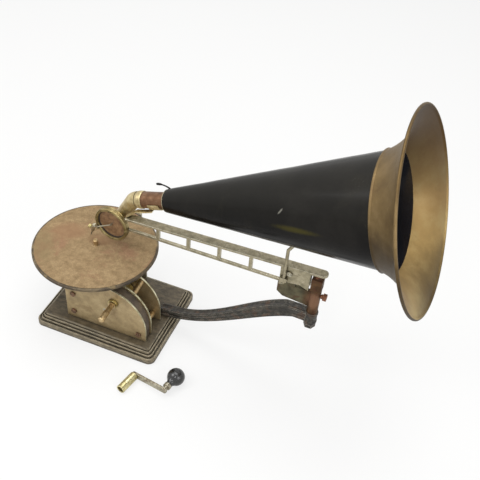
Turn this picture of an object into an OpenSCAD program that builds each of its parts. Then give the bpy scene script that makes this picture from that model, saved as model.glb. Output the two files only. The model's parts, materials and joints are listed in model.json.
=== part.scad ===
// A small spring-driven disc gramophone: moulded base, open motor between three plates, turntable,
// cast support arm with a post, pierced swinging arm, horn with a brass bell, and soundbox.
// Millimetres. The origin is on the turntable's axis at the underside of the base, +X runs along
// the swinging arm towards the horn's bell and +Z is up.

/* [Base] */
// Length of the base board along X
base_l = 190; // [176:1:240]
// Width of the base board along Y
base_w = 150; // [146:1:200]
// Height of the base board
base_h = 20; // [16:0.5:30]
// Place of the base board's centre along X
base_x = 29.5; // [24:0.5:36]
// Corner radius of the base board
base_r = 10; // [4:0.5:14]

/* [Motor plates] */
// Width of the three upright plates
plate_w = 127; // [124:1:150]
// Height of the plates above the base
plate_h = 84.7; // [82:0.1:104]
// Thickness of each plate
plate_t = 2.5; // [2:0.1:3.2]
// Radius of the plates' rounded corner
plate_arc = 64.1; // [58:0.1:66]
// Clear space between the front and middle plates
winding_space = 14.3; // [14:0.1:18]
// Clear space between the middle and rear plates
barrel_space = 26.7; // [24:0.1:34]
// Radius of the pillars between the plates
pillar_r = 4; // [3.2:0.1:4.6]
// Wall of the dust cover band
cover_t = 1.2; // [0.8:0.1:2]

/* [Gears] */
// Module of the spur wheels
gear_m = 1; // [0.95:0.01:1.02]
// Teeth of the great wheel
great_n = 70; // [60:1:70]
// Teeth of the driving pinions
pinion_n = 12; // [12:1:12]
// Teeth of the winding wheel
winding_n = 41; // [36:1:41]
// Outer radius of the spring drum
drum_r = 27; // [22:0.5:29]
// Wall of the spring drum
drum_t = 1.2; // [0.8:0.1:2]
// Radius of the shafts' bearing ends
pivot_r = 3; // [2.6:0.1:3.2]
// Radius of the winding shaft
winding_r = 3.6; // [3:0.1:3.8]
// Radius of the winding shaft's end, which takes the crank
winding_end_r = 4.5; // [4:0.1:4.6]
// Length of the winding shaft in front of the plate
winding_out = 36; // [24:1:44]

/* [Turntable] */
// Radius of the turntable
table_r = 88.9; // [86:0.1:110]
// Height of the turntable's top above the plates
table_up = 19.3; // [19:0.1:24]
// Thickness of the turntable's top
table_t = 2.6; // [2:0.1:3]
// Height of the turntable's edge
rim_h = 4.6; // [3.8:0.1:8]
// Width of the turntable's thicker edge
rim_t = 3.6; // [2:0.1:5]
// Thickness of the felt
felt_t = 1; // [0.6:0.1:2]
// Radius of the spindle's record pin
pin_r = 3.6; // [3.1:0.1:3.8]
// Height of the record pin above the felt
pin_h = 9; // [7:0.5:14]

/* [Support arm and post] */
// Distance from the turntable's axis to the post
post_x = 319.5; // [306:0.5:360]
// Place of the arm, post and ladder along Y
arm_y = 10; // [10:0.5:12]
// Width of the support arm
arm_w = 13; // [11:0.5:13]
// Radius of the post
post_r = 5; // [4:0.1:6]
// Height of the support arm's boss above the base
boss_h = 106; // [100:0.5:106]
// Wall of the yoke's sleeve round the post
sleeve_t = 2.45; // [2:0.05:3.2]

/* [Ladder arm] */
// Width of the ladder arm's top flange
ladder_w = 13; // [12.6:0.1:15]
// Thickness of the top flange
flange_t = 3.3; // [2.5:0.1:3.6]
// Thickness of the pierced web
web_t = 3.6; // [2.5:0.1:4.4]
// Slope of the top flange
flange_slope = 0.0393; // [0.03:0.001:0.042]
// Radius of the lift hinge's screw
hinge_r = 2.5; // [2:0.1:3]

/* [Horn] */
// Radius of the horn's small end
horn_r0 = 15.7; // [14.5:0.05:16.5]
// Radius that the cone gains for each millimetre of length
horn_taper = 0.181; // [0.16:0.001:0.2]
// Length of the black cone
cone_l = 303.5; // [296:0.5:306]
// Wall of the cone
cone_t = 0.8; // [0.6:0.1:1.2]
// Radius of the bell's mouth
bell_r = 117.5; // [110:0.5:140]
// Length of the bell
bell_l = 41.2; // [36:0.1:50]
// Wall of the bell
bell_t = 0.9; // [0.6:0.1:1.2]
// Upward tilt of the horn
horn_tilt = 19.1; // [18:0.1:20]
// Outer radius of the tube between horn and elbow
tube_r = 11.4; // [10.4:0.1:12]

/* [Soundbox] */
// Radius of the soundbox
box_r = 26.5; // [26.5:0.1:29]
// Height of the soundbox's centre above the felt
box_up = 38; // [38:0.1:46]
// Angle between the soundbox's face and the arm
box_turn = 7; // [4:0.5:12]
// Radius of the diaphragm
diaphragm_r = 24; // [23:0.1:24.6]
// Radius of the spigot that carries the soundbox
spigot_r = 7; // [6:0.1:7.4]

/* [Crank] */
// Outer radius of the crank's socket
socket_r = 6.25; // [5.6:0.05:7]
// Length of the crank's socket
socket_l = 29.9; // [24:0.1:34]
// Distance between the socket's and the knob's axes
throw_l = 51; // [40:1:60]
// Radius of the crank's knob
knob_r = 12.5; // [11:0.1:15]

/* [Hidden] */
$fn = 64;
run = 0.05;
seat = 0.03;
gap = 0.3;
PA = 20;

deck = base_h;
plate_x0 = -23;
plate_x1 = plate_x0 + plate_w;
plate_z1 = deck + plate_h;
arc_x = plate_x1 - plate_arc;
arc_z = plate_z1 - plate_arc;

rear_y1 = -4.5;
rear_y0 = rear_y1 - plate_t;
middle_y1 = rear_y0 - barrel_space;
middle_y0 = middle_y1 - plate_t;
front_y1 = middle_y0 - winding_space;
front_y0 = front_y1 - plate_t;

// Bearings of the barrel arbor, winding shaft and drive arbor as [x, z]
arbor_c = [40, deck + 38];
winding_at = 55.71;
drive_at = 125.83;
winding_c = arbor_c + gear_m * (winding_n + pinion_n) / 2 * [cos(winding_at), sin(winding_at)];
drive_c = arbor_c + gear_m * (great_n + pinion_n) / 2 * [cos(drive_at), sin(drive_at)];
wheel_low = 0.75;
pinion_high = 0.9;
lash = 0.25;

great_y0 = middle_y1 + 1.2;
great_t = 3;
drum_y1 = rear_y0 - 3;
winding_y0 = front_y1 + 2;
winding_t = 3;
ratchet_y0 = winding_y0 + winding_t + 2;
ratchet_t = 2.5;
ratchet_n = 24;
ratchet_r = 14;
ratchet_step = 2;

// Pillars between the plates as [x, z]: the first three run to the front plate, the last only between
// the middle and rear ones
top_pillar_at = 53.5;
pillars = [
    [plate_x0 + 12.5, deck + 49],
    [plate_x0 + 11.6, deck + 13],
    [plate_x1 - 11.5, deck + 11],
    [arc_x + (plate_arc - 5) * cos(top_pillar_at), arc_z + (plate_arc - 5) * sin(top_pillar_at)]
];
long_pillars = [pillars[0], pillars[1], pillars[2]];
screw_r = 2;
head_r = 4;
head_t = 2.4;

collar_z0 = plate_z1 + 4.3;
hub_z0 = collar_z0 + 3;
table_z1 = plate_z1 + table_up;
table_z0 = table_z1 - rim_h;
felt_z = table_z1 + felt_t;
hub_r = 12;
felt_r = table_r - 2.9;
spindle_r = pin_r + 0.6;

step_r = 8;
bearing_r = 7;
bearing_h = 7;
bearing_z0 = plate_z1 - 5.7;

skew_z = drive_c[1];
drive_tip = drive_c[0] - 5.25;
spindle_tip = 5.05;
worm_y = 18;
worm_z = deck + 32;
worm_tip = 3.95;
worm_lead = 8.29;
worm_wheel_r = worm_y - worm_tip - 0.2;

collar_r = 5.5;
leaf_w = 5;
leaf_t = 0.5;
leaf_x0 = -37;
leaf_x1 = -13;
leaf_rise = 3.5;
leaf_mid = (leaf_x0 + leaf_x1) / 2;
leaf_half = (leaf_x1 - leaf_x0) / 2;
leaf_arc = (leaf_half * leaf_half + leaf_rise * leaf_rise) / (2 * leaf_rise);
ball_r = 5;
disc_r = 11;
disc_x = -40;
brackets_x = [[9, 12.5], [-50.5, -47]];

lever_c = [-44, 36];
lever_z = worm_z - 2;
lever_t = 3;
speed_y = 50;
brake_c = [50, 50];
brake_z = collar_z0 - 9;
brake_t = 3.5;
brake_out = table_r + gap;
brake_at = 77;

ay0 = arm_y - arm_w / 2;
ay1 = arm_y + arm_w / 2;
foot_x0 = 84;
foot_x1 = base_x + base_l / 2 - 11.5;
boss_r = post_r + 4;
boss_z1 = deck + boss_h;
boss_z0 = boss_z1 - 22;

box_x = 21.2;
box_y = 8;
box_z = felt_z + box_up;
sleeve_r = post_r + run + sleeve_t;
sleeve_z0 = boss_z1 + gap;
head_z1 = box_z + 25.3;
head_w = 14.5;
tongue_w = 5.6;
hinge_x = post_x - 36.9;
hinge_z = box_z + 22.5;
thumb_z = box_z - 6;

ladder_x0 = box_x + 24.8;
ladder_x1 = post_x + 5;
ladder_z0 = box_z - 1;
rail_h = 4;
lip_h = 4.5;
rung_w = 5;
rungs = 4;
cheek_t = 3;
end_x = hinge_x - 12.6;
ly0 = arm_y - ladder_w / 2;
ly1 = arm_y + ladder_w / 2;

// Horn frame: its origin is on the horn's axis and its z runs towards the bell
horn_o = [hinge_x + 2.4, arm_y, box_z + 129.7];
horn_yaw = -2.4;
cone_t0 = -191.5;
cone_t1 = cone_t0 + cone_l;
bell_t0 = cone_t1 - 11;
tube_t0 = -235;
tube_t1 = -184.5;
tube_wall = 1;
bead_r = 1.9;

box_face = 0.6;
box_back = -9;
neck_r = 11;
neck_end = -14;
ring_in = 22;
lug_r = 24.8;
bar_at = 207;
needle_at = 250.6;
needle_dir = [cos(needle_at), sin(needle_at), 0];
bar_reach = 32.3;
bar_lag = 1.3;
needle_base = [bar_reach * cos(bar_at - bar_lag), bar_reach * sin(bar_at - bar_lag), -1];
needle_end = -(box_up - gap);
needle_reach = (needle_end - needle_base[1]) / needle_dir[1];
needle_l = 20.3;
needle_r = 0.8;
needle_point = 4;
holder_l = 12.5;
needle_screw_at = 8.4;

crank_o = [161.3, -111];
crank_turn = -12.57;
arm_bar = 8;
arm_bar_t = 3;
knob_pin_r = 2.5;

function polar(r, a) = [r * cos(a), r * sin(a)];
function unit(v) = v / norm(v);
function bez(a, b, c, d, n) = [for (i = [0:n]) let (t = i / n, s = 1 - t)
    s * s * s * a + 3 * s * s * t * b + 3 * s * t * t * c + t * t * t * d];
function rev(p) = [for (i = [len(p) - 1:-1:0]) p[i]];

// Outline of a thin strip of thickness t bent along the points p
function way(p, i) = unit(p[min(i + 1, len(p) - 1)] - p[max(i - 1, 0)]);
function beside(p, i, d) = p[i] + d * [-way(p, i)[1], way(p, i)[0]];
function strip(p, t) = concat(
    [for (i = [0:len(p) - 1]) beside(p, i, t / 2)],
    [for (i = [len(p) - 1:-1:0]) beside(p, i, -t / 2)]);

// Half the angle of an involute tooth at radius r, for a wheel of n teeth and pitch radius rp
function roll(r, rb) = r <= rb ? 0 : let (a = acos(rb / r)) tan(a) * 180 / PI - a;
function half_tooth(r, rp, n, play) = let (rb = rp * cos(PA))
    90 / n - play / rp * 45 / PI + roll(rp, rb) - roll(r, rb);
function tooth_radii(rp, root, tip) = let (rb = rp * cos(PA))
    root >= rb ? [root, rp, tip] : [root, rb, rp + (tip - rp) / 3, tip];
function gear_points(n, m, phase, add) = let (
    rp = n * m / 2,
    rs = tooth_radii(rp, rp - 1.25 * m, rp + add * m))
    [for (k = [0:n - 1]) let (c = phase + k * 360 / n) each concat(
        [for (r = rs) polar(r, c - half_tooth(r, rp, n, lash))],
        [for (r = rev(rs)) polar(r, c + half_tooth(r, rp, n, lash))])];

// Straight-sided teeth for skew gears, worms and knurls
function block_teeth(n, tip, root, wide) = [for (k = [0:n - 1], s = [[-1, 0], [-1, 1], [1, 1], [1, 0]])
    let (h = 90 / n * (s[1] == 1 ? wide : 2 - wide - 0.15))
    polar(s[1] == 1 ? tip : root, k * 360 / n + s[0] * h)];

// Solid between y0 and y1 whose outline is drawn in X and Z
module slab(y0, y1) {
    translate([0, y1, 0])
        rotate([90, 0, 0])
            linear_extrude(y1 - y0) children();
}

module rod_y(c, y0, y1, r) {
    translate([c[0], y1, c[1]])
        rotate([90, 0, 0])
            cylinder(h = y1 - y0, r = r);
}

module rod_x(y, z, x0, x1, r) {
    translate([x0, y, z])
        rotate([0, 90, 0])
            cylinder(h = x1 - x0, r = r);
}

// Round bar between two points
module bar(p, q, r) {
    d = q - p;
    translate(p)
        rotate([0, acos(d[2] / norm(d)), atan2(d[1], d[0])])
            cylinder(h = norm(d), r = r);
}

// Outline of a lever between two round ends
module link(a, ra, b, rb) {
    d = b - a;
    turn = atan2(d[1], d[0]);
    lean = acos((ra - rb) / norm(d));
    translate(a) circle(ra);
    translate(b) circle(rb);
    polygon([
        a + polar(ra, turn + lean), a + polar(ra, turn - lean),
        b + polar(rb, turn - lean), b + polar(rb, turn + lean)
    ]);
}

module rounded(l, w, r) {
    square([l - 2 * r, w], center = true);
    square([l, w - 2 * r], center = true);
    for (sx = [-1, 1], sy = [-1, 1])
        translate([sx * (l / 2 - r), sy * (w / 2 - r)])
            circle(r);
}

module horn_frame() {
    translate(horn_o)
        rotate([0, 90 - horn_tilt, horn_yaw])
            children();
}

module soundbox_frame() {
    translate([box_x, box_y, box_z])
        rotate([90, 0, -box_turn])
            children();
}

module crank_frame() {
    translate([crank_o[0], crank_o[1], knob_r])
        rotate([0, -asin((knob_r - socket_r) / throw_l), crank_turn])
            children();
}

// Base and its screws as [x, y, z of the seat, length]
foot_t = 2.2;
feet = [
    [plate_x0 + 9, rear_y1, 1], [plate_x0 + 113, rear_y1, 1],
    [plate_x0 + 9, front_y1, 1], [plate_x0 + 99, front_y1, 1]
];
pad_z = deck + 5;
arm_screw = [foot_x0 + 6, arm_y, pad_z];
wood_screws = concat(
    [for (f = feet) [f[0], f[1] + 4.7, deck + foot_t]],
    [arm_screw]);
wood_r = 1.8;
wood_l = 12;
under_screw_x = foot_x1 - 6;

module base_board() {
    color("#645F50")
        difference() {
            translate([base_x, 0, 0])
                for (s = [[0, 0, 0.5], [0.5, 1.5, 0.6], [0.6, 5, 0.7], [0.7, 7.5, 0.825], [0.825, 10, 1]])
                    translate([0, 0, s[0] * base_h])
                        linear_extrude((s[2] - s[0]) * base_h)
                            rounded(base_l - 2 * s[1], base_w - 2 * s[1], max(base_r - s[1] / 2, 1));
            for (w = wood_screws)
                translate([w[0], w[1], deck - wood_l - 1])
                    cylinder(h = wood_l + 2, r = wood_r + run);
            translate([under_screw_x, arm_y, -1]) cylinder(h = deck + 2, r = screw_r + run);
            translate([under_screw_x, arm_y, -1]) cylinder(h = 5, r = head_r + 1);
        }
}

module base_screws() {
    color("#A09A88") {
        for (w = wood_screws)
            difference() {
                union() {
                    translate([w[0], w[1], w[2]]) cylinder(h = 1.6, r1 = 3, r2 = 2.4);
                    translate([w[0], w[1], deck - wood_l]) cylinder(h = w[2] - deck + wood_l, r = wood_r);
                }
                translate([w[0], w[1], w[2] + 1.6]) cube([6.4, 0.8, 1.2], center = true);
            }
        translate([under_screw_x, arm_y, 1]) cylinder(h = 3, r = head_r);
        translate([under_screw_x, arm_y, 3.9]) cylinder(h = deck + 2, r = screw_r);
    }
}

// Outline of a motor plate, drawn in from its edges by inset, starting at x0 and z0
module plate_outline(inset, x0, z0) {
    r = plate_arc - inset;
    translate([x0, z0]) square([arc_x - x0, arc_z + r - z0]);
    translate([arc_x, z0]) square([r, arc_z - z0]);
    intersection() {
        translate([arc_x, arc_z]) circle(r);
        translate([arc_x, arc_z]) square(r);
    }
}

module plate_holes(places, r) {
    for (p = places) translate(p) circle(r);
}

module front_plate() {
    color("#8C7D5A")
        slab(front_y0, front_y1)
            difference() {
                plate_outline(0, plate_x0, deck);
                translate(winding_c) circle(winding_r + run);
                translate(arbor_c) circle(pivot_r + run);
                plate_holes(long_pillars, screw_r + run);
            }
}

click_pivot = arbor_c + polar(22, 120);
spring_pin = arbor_c + [-27, 20];
shoulder_r = 2.5;

module middle_plate() {
    color("#7D7350")
        slab(middle_y0, middle_y1)
            difference() {
                plate_outline(0, plate_x0, deck);
                translate(winding_c) circle(winding_r - 1 + run);
                translate(arbor_c) circle(pivot_r + 1 + run);
                translate(drive_c) circle(screw_r + run);
                plate_holes(pillars, screw_r + run);
            }
}

bracket_screw = [plate_x0 + 7, plate_z1 - 2.7];
window_r = bearing_r;

module rear_plate() {
    color("#8C7D5A")
        slab(rear_y0, rear_y1)
            difference() {
                plate_outline(0, plate_x0, deck);
                translate(arbor_c) circle(pivot_r + run);
                translate(drive_c) circle(pivot_r + run);
                translate([-window_r, skew_z - 7.2]) square([2 * window_r, 15]);
                translate([-16, worm_z - 5]) square([32, 10]);
                plate_holes(pillars, screw_r + run);
                translate(bracket_screw) circle(screw_r + run - 0.5);
            }
}

module plate_pillars() {
    color("#A09A88") {
        for (p = long_pillars) {
            difference() {
                rod_y(p, front_y1, middle_y0, pillar_r);
                rod_y(p, front_y1 - 1, front_y1 + 7, screw_r + run);
            }
            rod_y(p, middle_y0 - 6, middle_y0 + 0.2, screw_r);
        }
        for (p = pillars)
            difference() {
                union() {
                    rod_y(p, middle_y1, rear_y0, pillar_r);
                    rod_y(p, middle_y0 + 0.1, middle_y1 + 0.5, screw_r);
                }
                rod_y(p, rear_y0 - 7, rear_y0 + 1, screw_r + run);
            }
    }
}

// A slotted screw with its head's seat at y and its shank going along way
module plate_screw(p, y, way, r, shank) {
    difference() {
        union() {
            rod_y(p, min(y, y + way * shank), max(y, y + way * shank), r);
            rod_y(p, min(y, y - way * head_t), max(y, y - way * head_t), head_r);
        }
        translate([p[0], y - way * head_t, p[1]])
            rotate([0, 35, 0])
                cube([2 * head_r + 1, 1.6, 0.9], center = true);
    }
}

module plate_screws() {
    color("#AFA88F") {
        for (p = long_pillars) plate_screw(p, front_y0, 1, screw_r, 8);
        for (p = pillars) plate_screw(p, rear_y1, -1, screw_r, 8);
        plate_screw(bracket_screw, 0, -1, screw_r - 0.5, 6.8);
        rod_y(click_pivot, ratchet_y0 - 0.1, middle_y0, shoulder_r);
        rod_y(click_pivot, ratchet_y0 + ratchet_t + 0.1, middle_y0, shoulder_r + 1.5);
        rod_y(click_pivot, ratchet_y0 - 1.3, ratchet_y0 - 0.1, shoulder_r + 1.5);
    }
}

module plate_feet() {
    color("#7D7350")
        for (f = feet)
            difference() {
                union() {
                    translate([f[0] - 6, f[1], deck]) cube([12, 7.7, foot_t]);
                    translate([f[0] - 6, f[1], deck]) cube([12, 1.6, 7]);
                }
                translate([f[0], f[1] + 4.7, deck - 1]) cylinder(h = 5, r = wood_r + run);
            }
}

cover_in = 2.6;

module dust_cover() {
    color("#3A332B")
        slab(front_y1, middle_y0)
            difference() {
                plate_outline(cover_in, plate_x0 + 3, deck);
                plate_outline(cover_in + cover_t, plate_x0 - 3, deck - 3);
            }
}

module plate_bushes() {
    color("#B5A878") {
        difference() {
            rod_y(winding_c, front_y0 - 4, front_y0, winding_r + 3.5);
            rod_y(winding_c, front_y0 - 5, front_y0 + 1, winding_r + run);
        }
        difference() {
            rod_y(drive_c, rear_y0 - 2, rear_y0, pivot_r + 2.5);
            rod_y(drive_c, rear_y0 - 3, rear_y0 + 1, pivot_r + run);
        }
    }
}

module spindle_bearings() {
    color("#9A8C62") {
        intersection() {
            difference() {
                union() {
                    translate([0, 0, bearing_z0]) cylinder(h = bearing_h, r = bearing_r);
                    translate([plate_x0 + 3, rear_y1, bearing_z0]) cube([4 - plate_x0 - 3, -rear_y1, bearing_h]);
                }
                translate([0, 0, bearing_z0 - 1]) cylinder(h = bearing_h + 2, r = pivot_r + run);
                rod_y(bracket_screw, rear_y1 - 1, 1, screw_r - 0.5 + run);
            }
            translate([-50, rear_y1, 0]) cube([100, 60, 200]);
        }
        intersection() {
            difference() {
                translate([0, 0, deck]) cylinder(h = 7, r = step_r);
                translate([0, 0, deck + 1.5]) cylinder(h = 7, r = pivot_r + run);
            }
            translate([-50, rear_y1 + 0.1, 0]) cube([100, 60, 200]);
        }
    }
}

module governor_brackets() {
    color("#9A8C62")
        for (b = brackets_x)
            difference() {
                union() {
                    translate([b[0], worm_y - 5, deck]) cube([b[1] - b[0], 10, worm_z - deck]);
                    rod_x(worm_y, worm_z, b[0], b[1], 5);
                    translate([b[0], worm_y - 9, deck]) cube([b[1] - b[0], 18, 4]);
                }
                rod_x(worm_y, worm_z, b[0] - 1, b[1] + 1, 1.2 + run);
            }
}

module click_spring() {
    color("#8A8675") {
        rod_y(spring_pin, ratchet_y0, middle_y0, 2.2);
        slab(ratchet_y0 + 0.3, ratchet_y0 + ratchet_t - 0.3)
            polygon(strip([
                spring_pin + [1.2, -1.2], spring_pin + [2.6, -4.4],
                spring_pin + [5.4, -6.2], spring_pin + [9.4, -6.6]
            ], 0.6));
    }
}

module brake_post() {
    color("#8C8468") {
        translate([brake_c[0], brake_c[1], deck]) cylinder(h = brake_z - 0.2 - deck, r = 4);
        translate([brake_c[0], brake_c[1], brake_z - 0.3]) cylinder(h = brake_t + 0.6, r = 3);
        translate([brake_c[0], brake_c[1], brake_z + brake_t + 0.2]) cylinder(h = 1.6, r = 4.5);
    }
}

module speed_bracket() {
    color("#9A8C62") {
        difference() {
            union() {
                translate([-54.5, speed_y - 6, deck]) cube([4.5, 12, worm_z + 6 - deck]);
                translate([-54.5, speed_y - 6, deck]) cube([8, 12, 3]);
            }
            rod_x(speed_y, worm_z - 0.5, -56, -48, screw_r + run);
        }
        translate([lever_c[0], lever_c[1], deck]) cylinder(h = lever_z - 0.2 - deck, r = 3.5);
        translate([lever_c[0], lever_c[1], lever_z - 0.3]) cylinder(h = lever_t + 0.6, r = 2);
        translate([lever_c[0], lever_c[1], lever_z + lever_t + 0.2]) cylinder(h = 1.5, r = 3.5);
    }
}

arm_top = bez(
    [foot_x1 - 1, deck + 14], [foot_x1 + 75, deck + 16],
    [post_x - 81.5, boss_z1 - 4], [post_x - 13.5, boss_z1 + 6], 16);
arm_under = bez(
    [foot_x1 + 5, deck + 1], [foot_x1 + 77, deck + 12],
    [post_x - 74.5, boss_z1 - 34], [post_x - 19.5, boss_z1 - 16], 16);

module support_arm() {
    color("#4B4841")
        difference() {
            union() {
                slab(ay0, ay1)
                    polygon(concat(
                        [[foot_x0, deck], [foot_x1, deck]],
                        arm_under,
                        [[post_x - 5, boss_z0], [post_x - 5, boss_z1], [post_x - 8.2, boss_z1]],
                        rev(arm_top),
                        [[foot_x0 + 14, deck + 11], [foot_x0 + 12, pad_z], [foot_x0, pad_z]]));
                translate([post_x, arm_y, boss_z0]) cylinder(h = boss_z1 - boss_z0, r = boss_r);
            }
            translate([post_x, arm_y, boss_z0 - 1]) cylinder(h = boss_z1 - boss_z0 + 2, r = post_r + seat);
            translate([post_x, arm_y, boss_z1]) cylinder(h = 20, r = sleeve_r + 1);
            translate([arm_screw[0], arm_y, deck - 1]) cylinder(h = 8, r = wood_r + run);
            translate([under_screw_x, arm_y, deck - 1]) cylinder(h = 7, r = screw_r + run);
        }
}

module pivot_post() {
    color("#6E5446") {
        translate([post_x, arm_y, boss_z0 - 7]) cylinder(h = head_z1 - 1.3 - boss_z0 + 7, r = post_r);
        translate([post_x, arm_y, head_z1 - 1.3]) cylinder(h = 1, r1 = post_r, r2 = post_r - 1);
    }
}

module post_nut() {
    color("#4B4841")
        difference() {
            translate([post_x, arm_y, boss_z0 - 6]) cylinder(h = 6, r = boss_r - 0.5, $fn = 6);
            translate([post_x, arm_y, boss_z0 - 7]) cylinder(h = 8, r = post_r + seat);
        }
}

module crank_socket() {
    color("#C8BE8C")
        crank_frame()
            translate([-throw_l, -arm_bar_t, 0])
                difference() {
                    rotate([90, 0, 0]) cylinder(h = socket_l, r = socket_r);
                    translate([0, -8, 0]) rotate([90, 0, 0]) cylinder(h = socket_l, r = winding_end_r + 0.1);
                }
}

module crank_arm() {
    color("#A39E90")
        crank_frame() {
            slab(-arm_bar_t, 0)
                link([-throw_l, 0], arm_bar / 2 + 1, [0, 0], arm_bar / 2 + 1);
            rod_y([0, 0], -0.1, 4, 3.6);
            rod_y([0, 0], 3.9, 9, 5.5);
            rod_y([0, 0], 8.9, 36, knob_pin_r);
            rod_y([0, 0], 35.9, 37.5, knob_pin_r + 1);
        }
}

module crank_knob() {
    color("#141414")
        crank_frame()
            rotate([-90, 0, 0])
                difference() {
                    union() {
                        translate([0, 0, 26]) sphere(r = knob_r);
                        translate([0, 0, 9.3]) cylinder(h = 10, r1 = 4.8, r2 = 8.6);
                    }
                    translate([0, 0, 5]) cylinder(h = 40, r = knob_pin_r + run);
                    translate([0, 0, 35.6]) cylinder(h = 10, r = knob_pin_r + 1 + gap);
                }
}

module turntable() {
    color("#8A7E66")
        difference() {
            union() {
                difference() {
                    translate([0, 0, table_z0]) cylinder(h = rim_h, r = table_r);
                    translate([0, 0, table_z0 - 1]) cylinder(h = rim_h - table_t + 1, r = table_r - rim_t);
                }
                translate([0, 0, hub_z0]) cylinder(h = table_z1 - hub_z0 - 1, r = hub_r);
            }
            translate([0, 0, hub_z0 - 1]) cylinder(h = table_z1 - hub_z0 + 2, r = spindle_r + seat);
        }
}

module turntable_felt() {
    color("#A08864")
        difference() {
            translate([0, 0, table_z1]) cylinder(h = felt_t, r = felt_r);
            translate([0, 0, table_z1 - 1]) cylinder(h = felt_t + 2, r = spindle_r + seat);
        }
}

module spindle() {
    color("#B8B4A4") {
        translate([0, 0, deck + 1.8]) cylinder(h = collar_z0 + 0.1 - deck - 1.8, r = pivot_r);
        translate([0, 0, collar_z0]) cylinder(h = hub_z0 - collar_z0, r = 9);
        translate([0, 0, hub_z0 - 0.1]) cylinder(h = felt_z + 0.2 - hub_z0, r = spindle_r);
        translate([0, 0, felt_z]) cylinder(h = pin_h - 1, r = pin_r);
        translate([0, 0, felt_z + pin_h - 1]) cylinder(h = 1, r1 = pin_r, r2 = pin_r - 1.2);
    }
}

module spindle_gear() {
    color("#B5A878")
        difference() {
            translate([0, 0, skew_z - 5.2])
                linear_extrude(10.5, twist = -164, slices = 12, segments = 1)
                    polygon(block_teeth(8, spindle_tip, spindle_tip - 1.2, 0.7));
            translate([0, 0, skew_z - 8]) cylinder(h = 16, r = pivot_r + seat);
        }
}

module worm_wheel() {
    color("#B5A878")
        difference() {
            union() {
                translate([0, 0, worm_z - 2.5])
                    linear_extrude(5, twist = -8.7, slices = 2, segments = 1)
                        polygon(block_teeth(40, worm_wheel_r, worm_wheel_r - 1.3, 0.75));
                translate([0, 0, worm_z + 2.4]) cylinder(h = 6, r = pivot_r + 1.2);
            }
            translate([0, 0, worm_z - 5]) cylinder(h = 16, r = pivot_r + seat);
        }
}

module drive_arbor() {
    color("#B8B4A4") {
        rod_y(drive_c, middle_y0 + 0.1, great_y0 - 0.5, screw_r);
        slab(great_y0 - 0.6, great_y0 + great_t + 1)
            translate(drive_c)
                polygon(gear_points(pinion_n, gear_m, drive_at + 180 + 180 / pinion_n, pinion_high));
        rod_y(drive_c, great_y0 + great_t + 0.9, 5, pivot_r);
    }
}

module drive_wheel() {
    color("#B5A878")
        difference() {
            translate([drive_c[0], 3.5, drive_c[1]])
                rotate([90, 0, 0])
                    linear_extrude(7, twist = -26.7, slices = 3, segments = 1)
                        polygon(block_teeth(24, drive_tip, drive_tip - 1.3, 0.7));
            rod_y(drive_c, -5, 5, pivot_r + seat);
        }
}

module spring_barrel() {
    color("#A3946A")
        difference() {
            union() {
                slab(great_y0, great_y0 + great_t)
                    translate(arbor_c)
                        polygon(gear_points(great_n, gear_m, drive_at, wheel_low));
                rod_y(arbor_c, great_y0 + great_t - 0.1, drum_y1, drum_r);
            }
            rod_y(arbor_c, great_y0 + great_t, drum_y1 + 1, drum_r - drum_t);
            rod_y(arbor_c, great_y0 - 1, drum_y1, pivot_r + 1 + run);
        }
}

module barrel_cover() {
    color("#B5A878")
        difference() {
            rod_y(arbor_c, drum_y1, drum_y1 + 1.4, drum_r);
            rod_y(arbor_c, drum_y1 - 1, drum_y1 + 3, pivot_r + run);
        }
}

hub_spring_r = 8;
spring_turns = 6;

module mainspring() {
    n = spring_turns * 20;
    r0 = hub_spring_r + 0.65;
    r1 = drum_r - drum_t - 0.65;
    color("#6A6658")
        slab(great_y0 + great_t + 1, drum_y1 - 1)
            polygon(strip([for (i = [0:n])
                arbor_c + polar(r0 + (r1 - r0) * i / n, i * 18)], 0.7));
}

module barrel_arbor() {
    color("#B8B4A4") {
        rod_y(arbor_c, front_y0 + 0.1, front_y1 + 0.2, pivot_r);
        rod_y(arbor_c, front_y1 + 0.1, great_y0 + great_t + 0.6, pivot_r + 1);
        rod_y(arbor_c, great_y0 + great_t + 0.5, drum_y1 - 0.5, hub_spring_r);
        rod_y(arbor_c, drum_y1 - 0.6, rear_y1 - 0.1, pivot_r);
    }
}

module winding_wheel() {
    color("#B5A878")
        slab(winding_y0, winding_y0 + winding_t)
            difference() {
                translate(arbor_c)
                    polygon(gear_points(winding_n, gear_m, winding_at, wheel_low));
                translate(arbor_c) circle(pivot_r + 1 + seat);
            }
}

module ratchet_wheel() {
    color("#8E8A7A")
        slab(ratchet_y0, ratchet_y0 + ratchet_t)
            translate(arbor_c)
                difference() {
                    polygon([for (k = [0:ratchet_n - 1], s = [0, 1, 2])
                        let (a = 166 + (k + s / 2) * 360 / ratchet_n)
                        polar(s == 2 ? ratchet_r - ratchet_step : ratchet_r - ratchet_step * s / 2, a - s * 0.01)]);
                    circle(pivot_r + 1 + seat);
                }
}

module winding_shaft() {
    tip_y = front_y0 - winding_out;
    color("#C0BBA6") {
        rod_y(winding_c, middle_y0 - 0.3, middle_y1 - 0.1, winding_r - 1);
        rod_y(winding_c, front_y0 - 19.1, middle_y0 - 0.2, winding_r);
        rod_y(winding_c, front_y0 - 6.2, front_y0 - 4.3, winding_r + 2);
        rod_y(winding_c, tip_y + 1, front_y0 - 19, winding_end_r);
        translate([winding_c[0], tip_y + 1, winding_c[1]])
            rotate([90, 0, 0])
                cylinder(h = 1, r1 = winding_end_r, r2 = winding_end_r - 0.8);
        slab(front_y1 + 1, middle_y0 - 5.8)
            translate(winding_c)
                polygon(gear_points(pinion_n, gear_m, winding_at + 180 + 180 / pinion_n, pinion_high));
    }
}

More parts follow.
